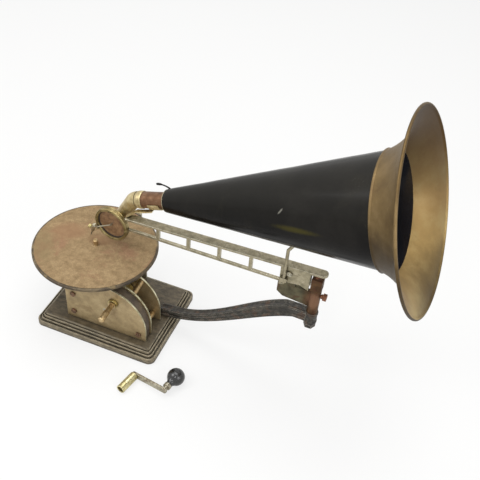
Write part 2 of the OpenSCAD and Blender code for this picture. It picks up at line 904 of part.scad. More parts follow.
module click() {
    knee = arbor_c + polar(ratchet_r + 3.2, 159);
    color("#8E8A7A")
        slab(ratchet_y0, ratchet_y0 + ratchet_t)
            difference() {
                union() {
                    link(click_pivot, 4.6, knee, 2.1);
                    polygon([
                        arbor_c + polar(ratchet_r + 4, 162),
                        arbor_c + polar(ratchet_r + gap, 163.4),
                        arbor_c + polar(ratchet_r + gap, 160.8),
                        arbor_c + polar(ratchet_r + 1.4, 153.5)
                    ]);
                }
                translate(click_pivot) circle(shoulder_r + run);
            }
}

module governor_shaft() {
    color("#B8B4A4") {
        rod_x(worm_y, worm_z, brackets_x[1][1] + 0.2, brackets_x[0][0] - 0.2, 2);
        rod_x(worm_y, worm_z, brackets_x[1][0] + 0.3, brackets_x[0][1] - 0.3, 1.2);
        translate([-6, worm_y, worm_z])
            rotate([0, 90, 0])
                linear_extrude(12, twist = -12 / worm_lead * 360, slices = 18, segments = 1)
                    polygon(block_teeth(4, worm_tip, worm_tip - 1.2, 0.8));
    }
}

module governor_collars() {
    color("#B5A878")
        difference() {
            union() {
                rod_x(worm_y, worm_z, leaf_x1 - 2, leaf_x1 + 2, collar_r);
                rod_x(worm_y, worm_z, leaf_x0 - 1.5, leaf_x0 + 2, collar_r);
                rod_x(worm_y, worm_z, disc_x, leaf_x0 - 1.4, disc_r);
            }
            rod_x(worm_y, worm_z, disc_x - 5, leaf_x1 + 5, 2 + seat);
        }
}

module around_governor() {
    for (k = [0:2])
        translate([leaf_mid, worm_y, worm_z])
            rotate([k * 120 + 20, 0, 0])
                children();
}

leaf_low = collar_r + leaf_rise - leaf_arc;

module governor_springs() {
    color("#9B9784")
        around_governor()
            intersection() {
                translate([0, leaf_w / 2, leaf_low])
                    rotate([90, 0, 0])
                        difference() {
                            cylinder(h = leaf_w, r = leaf_arc + leaf_t);
                            translate([0, 0, -1]) cylinder(h = leaf_w + 2, r = leaf_arc);
                        }
                translate([-leaf_half, -leaf_w, collar_r - 1]) cube([2 * leaf_half, 2 * leaf_w, 20]);
            }
}

module governor_weights() {
    color("#B5A878")
        around_governor()
            difference() {
                translate([0, 0, collar_r + leaf_rise + leaf_t + ball_r - 1.4]) sphere(r = ball_r);
                translate([0, 20, leaf_low])
                    rotate([90, 0, 0])
                        cylinder(h = 40, r = leaf_arc + leaf_t);
            }
}

module speed_lever() {
    color("#8C8468")
        difference() {
            union() {
                translate([0, 0, lever_z])
                    linear_extrude(lever_t) {
                        link(lever_c, 5, [lever_c[0], speed_y], 2.8);
                        link(lever_c, 5, [lever_c[0], worm_y + 8], 2.5);
                    }
                translate([lever_c[0], worm_y + 4, lever_z]) cube([disc_x - 1.3 - lever_c[0], 5.5, lever_t]);
            }
            translate([lever_c[0], lever_c[1], lever_z - 1]) cylinder(h = lever_t + 2, r = 2 + run);
        }
}

module speed_screw() {
    color("#B5A878") {
        rod_x(speed_y, worm_z - 0.5, -59, lever_c[0] - 3.4, screw_r);
        translate([-64, speed_y, worm_z - 0.5])
            rotate([0, 90, 0])
                linear_extrude(6)
                    polygon(block_teeth(24, 6, 5.5, 0.8));
    }
}

module brake_lever() {
    pad_c = polar(brake_out, brake_at);
    color("#8C8468")
        difference() {
            union() {
                translate([0, 0, brake_z])
                    linear_extrude(brake_t) {
                        link(brake_c, 6, pad_c, 4);
                        link(pad_c, 4, pad_c + [-10, 12], 3);
                    }
                intersection() {
                    difference() {
                        translate([0, 0, brake_z]) cylinder(h = table_z1 - 0.5 - brake_z, r = brake_out + 5);
                        translate([0, 0, brake_z - 1]) cylinder(h = 40, r = brake_out + 1.4);
                    }
                    rotate([0, 0, brake_at]) translate([0, -6, 0]) cube([200, 12, 200]);
                }
                intersection() {
                    difference() {
                        translate([0, 0, table_z0]) cylinder(h = rim_h - 1, r = brake_out + 1.5);
                        translate([0, 0, brake_z - 1]) cylinder(h = 40, r = brake_out);
                    }
                    rotate([0, 0, brake_at]) translate([0, -5, 0]) cube([200, 10, 200]);
                }
            }
            translate([brake_c[0], brake_c[1], brake_z - 1]) cylinder(h = brake_t + 2, r = 3 + run);
        }
}

plate_low = boss_z1 + 8.5;
yoke_top = ladder_z0 - 0.6;

module yoke() {
    color("#6E5446")
        difference() {
            union() {
                translate([post_x, arm_y, sleeve_z0]) cylinder(h = head_z1 - sleeve_z0, r = sleeve_r);
                translate([post_x - head_w / 2, arm_y - head_w / 2, head_z1 - 21.3])
                    cube([head_w, head_w, 21.3]);
                slab(arm_y - tongue_w / 2, arm_y + tongue_w / 2) {
                    polygon([
                        [hinge_x - 14.6, yoke_top], [hinge_x - 14.6, yoke_top - 16],
                        [hinge_x - 6, plate_low + 4], [post_x - 6, plate_low], [post_x - 6, yoke_top]
                    ]);
                    link([hinge_x, hinge_z], 6, [hinge_x + 2, yoke_top - 8], 8);
                }
            }
            translate([post_x, arm_y, sleeve_z0 - 1]) cylinder(h = head_z1, r = post_r + run);
            rod_y([hinge_x, hinge_z], ly0 - 1, ly1 + 1, hinge_r + run);
            rod_x(arm_y, thumb_z, post_x, post_x + 20, screw_r + run);
        }
}

module thumb_screw() {
    color("#8A6A50") {
        rod_x(arm_y, thumb_z, post_x + post_r + gap, post_x + sleeve_r + 3.1, screw_r);
        rod_x(arm_y, thumb_z, post_x + sleeve_r + 0.5, post_x + sleeve_r + 3.2, 3.2);
        translate([post_x + sleeve_r + 3, arm_y, thumb_z])
            rotate([0, 90, 0])
                linear_extrude(5)
                    polygon(block_teeth(20, 5, 4.6, 0.8));
    }
}

function flange_z(x) = box_z + 24.5 + (x - ladder_x0 - 2) * flange_slope;

module flange_outline() {
    polygon([
        [ladder_x0, flange_z(ladder_x0)], [ladder_x0, flange_z(ladder_x0) - flange_t],
        [ladder_x1 + 10, flange_z(ladder_x1 + 10) - flange_t], [ladder_x1 + 10, flange_z(ladder_x1 + 10)]
    ]);
}

module web_outline() {
    first = ladder_x0 + 5;
    last = end_x;
    pitch = (last - first + rung_w) / (rungs + 1);
    difference() {
        polygon([
            [ladder_x0 + 1, flange_z(ladder_x0) - flange_t + 0.2], [ladder_x0 + 3.6, ladder_z0],
            [end_x + 4, ladder_z0], [end_x + 4, flange_z(end_x) - flange_t + 0.2]
        ]);
        for (k = [0:rungs]) {
            x0 = k == 0 ? ladder_x0 - 1 : first + k * pitch;
            x1 = first + (k + 1) * pitch - rung_w;
            polygon([
                [x0, ladder_z0 + rail_h], [x1, ladder_z0 + rail_h],
                [x1, flange_z(x1) - flange_t - lip_h], [x0, flange_z(x0) - flange_t - lip_h]
            ]);
        }
    }
}

module ladder_arm() {
    cheek = [
        [end_x + 3, box_z + 7.4], [hinge_x, box_z + 5.8], [hinge_x + 15.4, box_z + 7.8],
        [hinge_x + 27.4, box_z + 2.4], [hinge_x + 27.4, flange_z(hinge_x) - flange_t + 1.1],
        [end_x + 3, flange_z(end_x) - flange_t + 0.2]
    ];
    color("#B4AF96")
        difference() {
            union() {
                intersection() {
                    slab(ly0, ly1) flange_outline();
                    translate([0, arm_y, 0])
                        linear_extrude(400) {
                            translate([ladder_x0, -ladder_w / 2]) square([ladder_x1 - ladder_x0, ladder_w]);
                            translate([ladder_x1, 0]) circle(ladder_w / 2);
                        }
                }
                slab(arm_y - web_t / 2, arm_y + web_t / 2) web_outline();
                slab(ly0, ly1)
                    polygon([
                        [end_x, ladder_z0], [end_x + 4, ladder_z0],
                        [end_x + 4, flange_z(end_x) - flange_t + 0.3], [end_x, flange_z(end_x) - flange_t + 0.1]
                    ]);
                slab(ly0, ly0 + cheek_t) polygon(cheek);
                slab(ly1 - cheek_t, ly1) polygon(cheek);
            }
            rod_y([hinge_x, hinge_z], ly0 - 1, ly1 + 1, hinge_r + seat);
        }
}

module hinge_screw() {
    color("#C0BBA6") {
        rod_y([hinge_x, hinge_z], ly0 - 0.1, ly1 + 2, hinge_r);
        difference() {
            rod_y([hinge_x, hinge_z], ly0 - 2, ly0, hinge_r + 1.2);
            translate([hinge_x, ly0 - 2, hinge_z]) cube([10, 1.2, 0.8], center = true);
        }
        difference() {
            translate([hinge_x, ly1 + 2.2, hinge_z])
                rotate([90, 0, 0])
                    cylinder(h = 2.2, r = hinge_r + 2, $fn = 6);
            rod_y([hinge_x, hinge_z], ly1 - 1, ly1 + 2.1, hinge_r - 0.1);
        }
    }
}

function cone_r(t) = horn_r0 + horn_taper * (t - cone_t0);

module horn_cradle() {
    rod = 2.2;
    rx = hinge_x - 6.1;
    ry = ly0 - rod - run;
    bend = [rx, ry, box_z + 63];
    tip = [hinge_x + 4.9, arm_y - 1.5, box_z + 77.6];
    color("#A39E90") {
        translate([rx, ry, box_z + 5]) cylinder(h = 58, r = rod);
        translate(bend) sphere(r = rod);
        bar(bend, tip, rod);
        translate([rx - 4.5, ry - 3, box_z + 9]) cube([9, 3 + rod + 0.02, 6]);
        horn_frame()
            rotate([0, 0, -22])
                rotate_extrude(angle = 44)
                    polygon([
                        [cone_r(-17) + gap, -17], [cone_r(-17) + gap + 2, -17],
                        [cone_r(-9) + gap + 2, -9], [cone_r(-9) + gap, -9]
                    ]);
    }
}

module horn_cone() {
    color("#232321")
        horn_frame()
            rotate_extrude()
                polygon([
                    [cone_r(cone_t0) - cone_t, cone_t0], [cone_r(cone_t0), cone_t0],
                    [cone_r(cone_t1), cone_t1], [cone_r(cone_t1) - cone_t, cone_t1]
                ]);
}

bell_line = bez(
    [cone_r(bell_t0) + run + bell_t / 2, bell_t0], [cone_r(bell_t0) + 2.9, bell_t0 + 9],
    [bell_r - 31.6, bell_t0 + bell_l - 6.2], [bell_r - 0.4, bell_t0 + bell_l], 14);

module horn_bell() {
    color("#BFA05A")
        horn_frame() {
            rotate_extrude() polygon(strip(bell_line, bell_t));
            rotate_extrude() translate([bell_r, bell_t0 + bell_l]) circle(r = bead_r);
        }
}

module horn_tube() {
    wedge = cone_r(cone_t0) - cone_t - 0.08;
    color("#A0673F")
        horn_frame()
            rotate_extrude() {
                translate([tube_r - tube_wall, tube_t0]) square([tube_wall, tube_t1 - tube_t0]);
                polygon([
                    [tube_r - 0.1, cone_t0], [wedge, cone_t0],
                    [wedge + 6 * horn_taper, cone_t0 + 6], [tube_r - 0.1, cone_t0 + 6]
                ]);
            }
}

// Point in space of a point on the horn's axis, and the soundbox's inward direction
horn_n = [cos(horn_tilt) * cos(horn_yaw), cos(horn_tilt) * sin(horn_yaw), sin(horn_tilt)];
function on_horn(t) = horn_o + t * horn_n;
box_in = [sin(box_turn), cos(box_turn), 0];
box_c = [box_x, box_y, box_z];

// Points round a bend of radius r at corner b of the path a, b, c
function corner(a, b, c, r, n) = let (
    u = unit(a - b),
    v = unit(c - b),
    half = acos(u * v) / 2,
    m = b + unit(u + v) * r / sin(half),
    e = unit(b + u * r / tan(half) - m),
    sweep = 180 - 2 * half)
    [for (i = [0:n]) m + r * (e * cos(sweep * i / n) - u * sin(sweep * i / n))];

// Path of the elbow: its collar, two bends and the spigot in the soundbox's neck
elbow_sides = 24;
elbow_wall = 0.9;
elbow_collar_l = 6;
elbow_reach1 = 10.5;
elbow_reach2 = 28.4;
elbow_bend1_r = 15;
elbow_bend2_r = 11;
elbow_corner1 = on_horn(tube_t0 - elbow_reach1);
elbow_corner2 = box_c + elbow_reach2 * box_in;
elbow_end = box_c + (-neck_end + gap) * box_in;
elbow_bend1 = corner(on_horn(tube_t0), elbow_corner1, elbow_corner2, elbow_bend1_r, 8);
elbow_bend2 = corner(elbow_corner1, elbow_corner2, elbow_end, elbow_bend2_r, 12);
elbow_path = concat(
    [on_horn(tube_t0 + elbow_collar_l), on_horn(tube_t0)], elbow_bend1,
    elbow_bend2, [elbow_end, elbow_end - 6 * box_in]);

// Ring frames carried along the path without twisting
function tangent(p, i) = i == 0 ? unit(p[1] - p[0]) : i == len(p) - 1 ? unit(p[i] - p[i - 1])
    : unit(unit(p[i + 1] - p[i]) + unit(p[i] - p[i - 1]));
function normals(p, i, last) = let (
    t = tangent(p, i),
    n = unit(last - t * (last * t)))
    i == len(p) - 1 ? [n] : concat([n], normals(p, i + 1, n));
function ring(c, t, n, r, k) = let (b = cross(t, n))
    [for (j = [0:k - 1]) c + r * (n * cos(j * 360 / k) + b * sin(j * 360 / k))];

// Hollow turned form along the path p, whose steps are [place on the path, radius]: out along the outside and back inside
module pipe(p, steps, k) {
    ns = normals(p, 0, [0, 1, 0]);
    n = len(steps);
    points = [for (s = steps) each ring(p[s[0]], tangent(p, s[0]), ns[s[0]], s[1], k)];
    faces = [for (i = [0:n - 1], j = [0:k - 1]) let (
        a = i * k + j,
        b = i * k + (j + 1) % k,
        c = (i + 1) % n * k + j,
        d = (i + 1) % n * k + (j + 1) % k)
        each [[a, c, b], [b, c, d]]];
    polyhedron(points = points, faces = faces, convexity = 6);
}

module horn_elbow() {
    last = len(elbow_path) - 1;
    collar = tube_r + 1;
    wide = tube_r - 0.1;
    slim = spigot_r + 1.9;
    bore = (tube_r + seat) / cos(180 / elbow_sides);
    taper = [for (i = [3:last - 2]) [i, wide + (slim - wide) * (i - 3) / (last - 5)]];
    outside = concat([[0, collar], [1, collar], [3, collar]], taper, [[last - 1, slim], [last - 1, spigot_r], [last, spigot_r]]);
    hollow = [for (i = [len(taper) - 1:-1:0]) [taper[i][0], taper[i][1] - elbow_wall]];
    inside = concat(
        [[last, spigot_r - 1], [last - 1, spigot_r - 1]], hollow,
        [[1, wide - elbow_wall], [1, bore], [0, bore]]);
    color("#8C7A44") pipe(elbow_path, concat(outside, inside), elbow_sides);
}

// Half-round saddle under the tube
saddle_t0 = -218;
saddle_l = 17;
saddle_t = 1.7;

// Point of the strap, in x and z, at place t along the horn and d below the tube's lowest line
function below_tube(t, d) = [
    on_horn(t)[0] + (tube_r + d) * sin(horn_tilt), on_horn(t)[2] - (tube_r + d) * cos(horn_tilt)];

module elbow_strap() {
    color("#8C7A44") {
        slab(arm_y - 3, arm_y + 4)
            polygon(strip([
                [ladder_x0 + 0.5, flange_z(ladder_x0) + 0.85], [ladder_x0 + 3, box_z + 27.2],
                below_tube(-249, 4.7), below_tube(-241.5, 1.4), below_tube(-233, 1.6),
                below_tube(-224.5, 1.3), below_tube(-216, 0.75)
            ], 1.6));
        horn_frame()
            difference() {
                translate([0, 0, saddle_t0]) cylinder(h = saddle_l, r = tube_r + saddle_t);
                translate([0, 0, saddle_t0 - 1]) cylinder(h = saddle_l + 2, r = tube_r + 4 * seat);
                translate([-40, -20, saddle_t0 - 1]) cube([40, 40, saddle_l + 2]);
            }
    }
}

module soundbox_case() {
    color("#8C7D5A")
        soundbox_frame()
            difference() {
                union() {
                    translate([0, 0, box_back]) cylinder(h = -2.2 - box_back, r = box_r);
                    translate([0, 0, neck_end]) cylinder(h = box_back - neck_end + 0.1, r = neck_r);
                }
                translate([0, 0, neck_end - 1]) cylinder(h = box_back - neck_end + 5, r = spigot_r + run);
                translate([0, 0, box_back + 3]) cylinder(h = 6.2, r = diaphragm_r - 4.3);
                translate([0, 0, -4.8]) cylinder(h = 5, r = diaphragm_r + 0.1);
            }
}

module soundbox_ring() {
    lug = polar(lug_r, bar_at);
    screws_at = (box_r + ring_in) / 2;
    color("#9A8C62")
        soundbox_frame() {
            difference() {
                translate([0, 0, -2.2]) cylinder(h = 2.8, r = box_r);
                translate([0, 0, -3]) cylinder(h = 5, r = ring_in);
            }
            difference() {
                rotate([0, 0, bar_at])
                    for (s = [-1, 1])
                        translate([lug_r - 1.5, s * 3.1 - 0.8, 0.5]) cube([3, 1.6, 4.1]);
                translate([lug[0], lug[1], 2.6])
                    rotate([0, 0, bar_at])
                        rotate([90, 0, 0])
                            cylinder(h = 12, r = 0.6 + run, center = true);
            }
            for (a = [0, 90, 180, 270])
                translate([polar(screws_at, a)[0], polar(screws_at, a)[1], 0.5])
                    cylinder(h = 1.2, r = 1.8);
        }
}

module diaphragm() {
    color("#694F37")
        soundbox_frame()
            translate([0, 0, -4]) cylinder(h = 0.4, r = diaphragm_r);
}

module gaskets() {
    color("#3A3430")
        soundbox_frame()
            for (z = [[-4.8, 0.8], [-3.6, 1.4]])
                translate([0, 0, z[0]])
                    difference() {
                        cylinder(h = z[1], r = diaphragm_r);
                        translate([0, 0, -1]) cylinder(h = 4, r = diaphragm_r - 2.8);
                    }
}

function box_p(r, a, z) = [r * cos(a), r * sin(a), z];

module stylus_bar() {
    lug = polar(lug_r, bar_at);
    color("#B8B4A4")
        soundbox_frame()
            difference() {
                union() {
                    translate([0, 0, -3.6]) cylinder(h = 3.4, r = 1.6);
                    bar([0, 0, -0.6], box_p(21.5, bar_at, 2.6), 1);
                    bar(box_p(21.1, bar_at, 2.55), box_p(bar_reach, bar_at, 2.2), 1.2);
                    translate([lug[0], lug[1], 2.6])
                        rotate([0, 0, bar_at])
                            rotate([90, 0, 0])
                                cylinder(h = 8.4, r = 0.6, center = true);
                    bar(needle_base, needle_base + holder_l * needle_dir, 2.8);
                }
                bar(needle_base + (needle_reach - needle_l - gap) * needle_dir,
                    needle_base + (holder_l + 2) * needle_dir, needle_r + run);
                translate(needle_base + needle_screw_at * needle_dir)
                    rotate([0, 0, needle_at - 90])
                        rotate([0, 90, 0])
                            cylinder(h = 6, r = 1.2 + run);
            }
}

module needle() {
    shoulder = needle_reach - needle_point;
    color("#C8C8C4")
        soundbox_frame() {
            bar(needle_base + (needle_reach - needle_l) * needle_dir, needle_base + shoulder * needle_dir, needle_r);
            translate(needle_base + (shoulder - 0.01) * needle_dir)
                rotate([0, 90, needle_at])
                    cylinder(h = needle_point, r1 = needle_r, r2 = 0.25);
        }
}

module needle_screw() {
    color("#B5A878")
        soundbox_frame()
            translate(needle_base + needle_screw_at * needle_dir)
                rotate([0, 0, needle_at - 90])
                    rotate([0, 90, 0]) {
                        translate([0, 0, 1.1]) cylinder(h = 4, r = 1.2);
                        translate([0, 0, 4.2]) linear_extrude(3.6) polygon(block_teeth(16, 2.8, 2.5, 0.8));
                    }
}

base_board();
front_plate();
middle_plate();
rear_plate();
plate_pillars();
plate_screws();
plate_feet();
base_screws();
dust_cover();
plate_bushes();
spindle_bearings();
governor_brackets();
click_spring();
brake_post();
speed_bracket();
support_arm();
pivot_post();
post_nut();
crank_socket();
crank_arm();
crank_knob();
turntable();
turntable_felt();
spindle();
spindle_gear();
worm_wheel();
drive_arbor();
drive_wheel();
spring_barrel();
barrel_cover();
mainspring();
barrel_arbor();
winding_wheel();
ratchet_wheel();
winding_shaft();
click();
governor_shaft();
governor_collars();
governor_springs();
governor_weights();
speed_lever();
speed_screw();
brake_lever();
yoke();
thumb_screw();
ladder_arm();
hinge_screw();
horn_cradle();
horn_cone();
horn_bell();
horn_tube();
horn_elbow();
elbow_strap();
soundbox_case();
soundbox_ring();
diaphragm();
gaskets();
stylus_bar();
needle();
needle_screw();
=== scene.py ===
# Looks of the open-works disc gramophone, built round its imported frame
import json
import math

import bmesh
import bpy
import numpy as np
from mathutils import Matrix, Vector


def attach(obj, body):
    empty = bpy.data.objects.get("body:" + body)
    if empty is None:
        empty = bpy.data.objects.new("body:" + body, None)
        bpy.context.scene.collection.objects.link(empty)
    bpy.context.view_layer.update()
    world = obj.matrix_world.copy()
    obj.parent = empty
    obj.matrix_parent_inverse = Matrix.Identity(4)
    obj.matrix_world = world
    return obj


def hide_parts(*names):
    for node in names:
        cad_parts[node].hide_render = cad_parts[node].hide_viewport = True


print("frame: loading the packed gramophone")
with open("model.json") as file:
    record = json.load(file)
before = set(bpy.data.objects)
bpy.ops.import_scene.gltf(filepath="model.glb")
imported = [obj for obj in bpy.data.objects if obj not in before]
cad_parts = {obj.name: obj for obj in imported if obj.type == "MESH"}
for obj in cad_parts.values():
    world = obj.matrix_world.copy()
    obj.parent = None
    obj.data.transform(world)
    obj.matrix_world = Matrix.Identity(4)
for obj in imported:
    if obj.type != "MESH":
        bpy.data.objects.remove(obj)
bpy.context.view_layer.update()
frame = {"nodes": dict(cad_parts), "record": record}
nodes = frame["nodes"]
bodyOfNode = {name: body
              for body, names in frame["record"]["behaviour"]["bodies"].items() for name in names}
mm = 0.001


# Colour and shader nodes

def linearColour(hexCode):
    # sRGB hex to the linear numbers that a shader takes
    part = np.array([int(hexCode[i:i + 2], 16) for i in (1, 3, 5)]) / 255
    part = np.where(part <= 0.04045, part / 12.92, ((part + 0.055) / 1.055) ** 2.4)
    return (*part.tolist(), 1.0)


def addNode(tree, kind, settings={}, inputs={}):
    # one shader node: its settings first, then each input gets a value, or a link from an output or from the
    # first output of a node
    node = tree.nodes.new("ShaderNode" + kind)
    for name, value in settings.items():
        if name == "stops":
            while len(node.color_ramp.elements) < len(value):
                node.color_ramp.elements.new(0.5)
            for stop, (place, hexCode) in zip(node.color_ramp.elements, value):
                stop.position = place
                stop.color = linearColour(hexCode)
        else:
            setattr(node, name, value)
    for key, value in inputs.items():
        if isinstance(value, bpy.types.Node):
            value = value.outputs[0]
        if isinstance(value, bpy.types.NodeSocket):
            tree.links.new(value, node.inputs[key])
        else:
            node.inputs[key].default_value = value
    return node


multiplyAdd = {"operation": "MULTIPLY_ADD"}
smoothStep = {"interpolation_type": "SMOOTHSTEP"}


def perMm(size):
    # noise scale on Object coordinates, in metres, that gives features of this many millimetres
    return 1000 / size


def newTree(name):
    material = bpy.data.materials.new(name)
    material.use_nodes = True
    material.node_tree.nodes.clear()
    return material, material.node_tree


def tinted(tree, colour, tint, blotch):
    # the colour changes along one axis of the object, its border made uneven by the blotches
    ways = addNode(tree, "SeparateXYZ", {}, {0: addNode(tree, "TexCoord").outputs["Object"]})
    ragged = addNode(tree, "Math", multiplyAdd, {
        0: blotch, 1: tint["raggedMm"] * mm, 2: ways.outputs[tint["axis"]]})
    # the blotches add half of raggedMm on average, so both ends move by as much
    middle = tint["raggedMm"] / 2
    share = addNode(tree, "MapRange", {}, {
        "Value": ragged, "From Min": (tint["fromMm"] + middle) * mm,
        "From Max": (tint["toMm"] + middle) * mm})
    shade = addNode(tree, "ValToRGB", {"stops": tint["stops"]}, {"Fac": share})
    return addNode(tree, "MixRGB", {"blend_type": "MULTIPLY"}, {
        "Fac": 1.0, "Color1": colour, "Color2": shade})


def marked(tree, colour, mark, grain):
    # a mark, for stains, nicks and the horn's painted reflection: an ellipsoid of its own place, turn and
    # half-sizes in mm, its edge torn by the grain
    local = addNode(tree, "Mapping", {"vector_type": "TEXTURE"}, {
        "Vector": addNode(tree, "TexCoord").outputs["Object"], "Location": [v * mm for v in mark["at"]],
        "Rotation": [math.radians(v) for v in mark["turn"]], "Scale": [v * mm for v in mark["half"]]})
    away = addNode(tree, "VectorMath", {"operation": "LENGTH"}, {0: local})
    torn = addNode(tree, "Math", multiplyAdd, {
        0: grain, 1: mark["torn"], 2: away.outputs["Value"]})
    cover = addNode(tree, "MapRange", smoothStep, {
        "Value": torn, "From Min": 1 + mark["torn"] / 2,
        "From Max": mark["full"] + mark["torn"] / 2, "To Max": mark["depth"]})
    return addNode(tree, "MixRGB", {}, {
        "Fac": cover, "Color1": colour, "Color2": linearColour(mark["colour"])})


def dusted(tree, colour, look):
    # dust settles where the surface faces up; the same lightening of upward faces is also a painted sheen of
    # light from above
    upwards = addNode(tree, "SeparateXYZ", {}, {0: addNode(tree, "NewGeometry").outputs["Normal"]})
    settled = addNode(tree, "MapRange", smoothStep, {
        "Value": upwards.outputs["Z"], "From Min": -0.35, "From Max": 0.95, "To Max": look["dustDepth"]})
    return addNode(tree, "MixRGB", {}, {
        "Fac": settled, "Color1": colour, "Color2": linearColour(look["dust"])})


def rubbedAndHighlit(tree, colour, look, patch):
    # rubbed edges, also a painted highlight along them: where a normal rounded over this radius leaves the
    # surface's own normal
    rounded = addNode(tree, "Bevel", {"samples": 4}, {"Radius": look["edgeMm"] * mm})
    facing = addNode(tree, "VectorMath", {"operation": "DOT_PRODUCT"}, {
        0: rounded, 1: addNode(tree, "NewGeometry").outputs["Normal"]})
    edged = addNode(tree, "MapRange", {}, {
        "Value": facing.outputs["Value"], "From Min": 0.99, "From Max": 0.86})
    uneven = addNode(tree, "MapRange", {}, {
        "Value": patch, "From Min": 0.36, "From Max": 0.56, "To Max": look["wearAndHighlightDepth"]})
    both = addNode(tree, "Math", {"operation": "MULTIPLY"}, {0: edged, 1: uneven})
    return addNode(tree, "MixRGB", {}, {
        "Fac": both, "Color1": colour, "Color2": linearColour(look["wearAndHighlight"])})


def grimedAndShaded(tree, colour, look):
    # grime stays in corners, where other surfaces stand close; found by ambient occlusion, this darkening is
    # also painted shade in the corners
    corner = addNode(tree, "AmbientOcclusion", {"samples": 6}, {"Distance": look["grimeAndShadeMm"] * mm})
    hidden = addNode(tree, "MapRange", {}, {
        "Value": corner.outputs["AO"], "From Min": 0.25, "From Max": 0.85, "To Min": 1.0, "To Max": 0.0})
    return addNode(tree, "MixRGB", {}, {
        "Fac": hidden, "Color1": colour, "Color2": linearColour(look["grimeAndShade"])})


# what a surface has unless its look says otherwise
plainLook = {
    "patchShare": 0.38, "patchDepth": 0.7, "patchMm": 9, "patchRough": 0.25, "patchRelief": 0.6,
    "patchMetallic": 0.4, "blotchMm": 9, "grainMm": 1.0, "grainDepth": 0.1, "reliefMm": 0.03,
    "metallic": 0.0, "ior": 1.5}


def agedSurface(name, look):
    # an old surface: blotched ground, a patina in patches, then what its look asks for, and uneven shine and
    # relief; a noise stays mostly between 0.3 and 0.7, and From Min and From Max pick the part that counts
    look = {**plainLook, **look}
    material, tree = newTree(name)
    place = addNode(tree, "TexCoord").outputs["Object"]
    if "stretch" in look:
        place = addNode(tree, "Mapping", {}, {"Vector": place, "Scale": look["stretch"]})
    blotch = addNode(tree, "TexNoise", {}, {
        "Vector": place, "Scale": perMm(look["blotchMm"]), "Detail": 6.0, "Roughness": 0.62})
    grain = addNode(tree, "TexNoise", {}, {
        "Vector": place, "Scale": perMm(look["grainMm"]), "Detail": 4.0, "Roughness": 0.6})
    patch = addNode(tree, "TexNoise", {}, {
        "Vector": place, "Scale": perMm(look["patchMm"]), "Detail": 8.0, "Roughness": 0.68,
        "Distortion": 0.4})
    tones = list(zip((0.34, 0.5, 0.66), look["tones"]))
    ground = addNode(tree, "ValToRGB", {"stops": tones}, {"Fac": blotch})
    edge = 0.5 + 0.5 * (0.5 - look["patchShare"])
    mask = addNode(tree, "MapRange", smoothStep, {
        "Value": patch, "From Min": edge - 0.05, "From Max": edge + 0.07,
        "To Max": look["patchDepth"]})
    speckle = addNode(tree, "MapRange", {}, {
        "Value": grain, "From Min": 0.35, "From Max": 0.7,
        "To Min": 1 - look["grainDepth"], "To Max": 1 + look["grainDepth"]})
    patched = addNode(tree, "MixRGB", {}, {
        "Fac": mask, "Color1": ground, "Color2": linearColour(look["patch"])})
    colour = addNode(tree, "MixRGB", {"blend_type": "MULTIPLY"}, {
        "Fac": 1.0, "Color1": patched, "Color2": speckle})
    if "tint" in look:
        colour = tinted(tree, colour, look["tint"], blotch)
    for mark in look.get("marks", []):
        colour = marked(tree, colour, mark, grain)
    if "dust" in look:
        colour = dusted(tree, colour, look)
    if "wearAndHighlight" in look:
        colour = rubbedAndHighlit(tree, colour, look, patch)
    # darker in corners: grime together with painted shade
    if "grimeAndShade" in look:
        colour = grimedAndShaded(tree, colour, look)
    rough = addNode(tree, "MapRange", {}, {
        "Value": grain, "From Min": 0.3, "From Max": 0.7,
        "To Min": look["rough"][0], "To Max": look["rough"][1]})
    roughest = addNode(tree, "Math", multiplyAdd, {
        0: mask, 1: look["patchRough"], 2: rough})
    height = addNode(tree, "Math", multiplyAdd, {
        0: mask, 1: look["patchRelief"], 2: grain})
    relief = addNode(tree, "Bump", {}, {
        "Height": height, "Distance": look["reliefMm"] * mm, "Strength": 0.9})
    shader = addNode(tree, "BsdfPrincipled", {}, {
        "Base Color": colour, "Roughness": roughest,
        "Normal": relief, "Metallic": look["metallic"]})
    if look["metallic"] > 0.5:
        # the patina's patches are less metallic than the metal round them
        metal = addNode(tree, "MapRange", {}, {
            "Value": mask, "To Min": look["metallic"], "To Max": look["patchMetallic"]})
        tree.links.new(metal.outputs["Result"], shader.inputs["Metallic"])
    else:
        shader.inputs["IOR"].default_value = look["ior"]
    if "coat" in look:
        shader.inputs["Coat Weight"].default_value = look["coat"]
        shader.inputs["Coat Roughness"].default_value = look["coatRough"]
    addNode(tree, "OutputMaterial", {}, {"Surface": shader})
    return material


print("materials: metals")
# rolled sheet brass of the motor's plates: dulled to olive by a century of air, oil brown in patches
plateBrass = agedSurface("tarnishedPlateBrass", {
    "tones": ("#93805F", "#AA956F", "#BAA680"), "patch": "#86704F", "patchShare": 0.34, "patchDepth": 0.6,
    "patchMm": 30, "blotchMm": 26, "grainMm": 1.3, "grainDepth": 0.14, "rough": (0.34, 0.55),
    "reliefMm": 0.07, "metallic": 0.6, "grimeAndShadeMm": 4, "grimeAndShade": "#463B26"})
# the same sheet where its corners are rubbed bright, and on the plates' cut edges also a painted highlight
brightBrassEdge = agedSurface("rubbedAndHighlitBrassEdge", {
    "tones": ("#A8A080", "#C8C2A0", "#E0DCC0"), "patch": "#7E7352", "patchDepth": 0.8, "blotchMm": 8,
    "grainDepth": 0.12, "rough": (0.28, 0.42), "metallic": 0.9})
# cut clock brass of wheels, bushes and weights: yellower, kept by oil
gearBrass = agedSurface("cutClockBrass", {
    "tones": ("#8F8056", "#B8A973", "#CFC28C"), "patch": "#6B5A36", "patchShare": 0.33, "blotchMm": 10,
    "grainMm": 0.8, "grainDepth": 0.08, "rough": (0.26, 0.42), "metallic": 0.95, "grimeAndShadeMm": 2.5,
    "grimeAndShade": "#3E3220"})
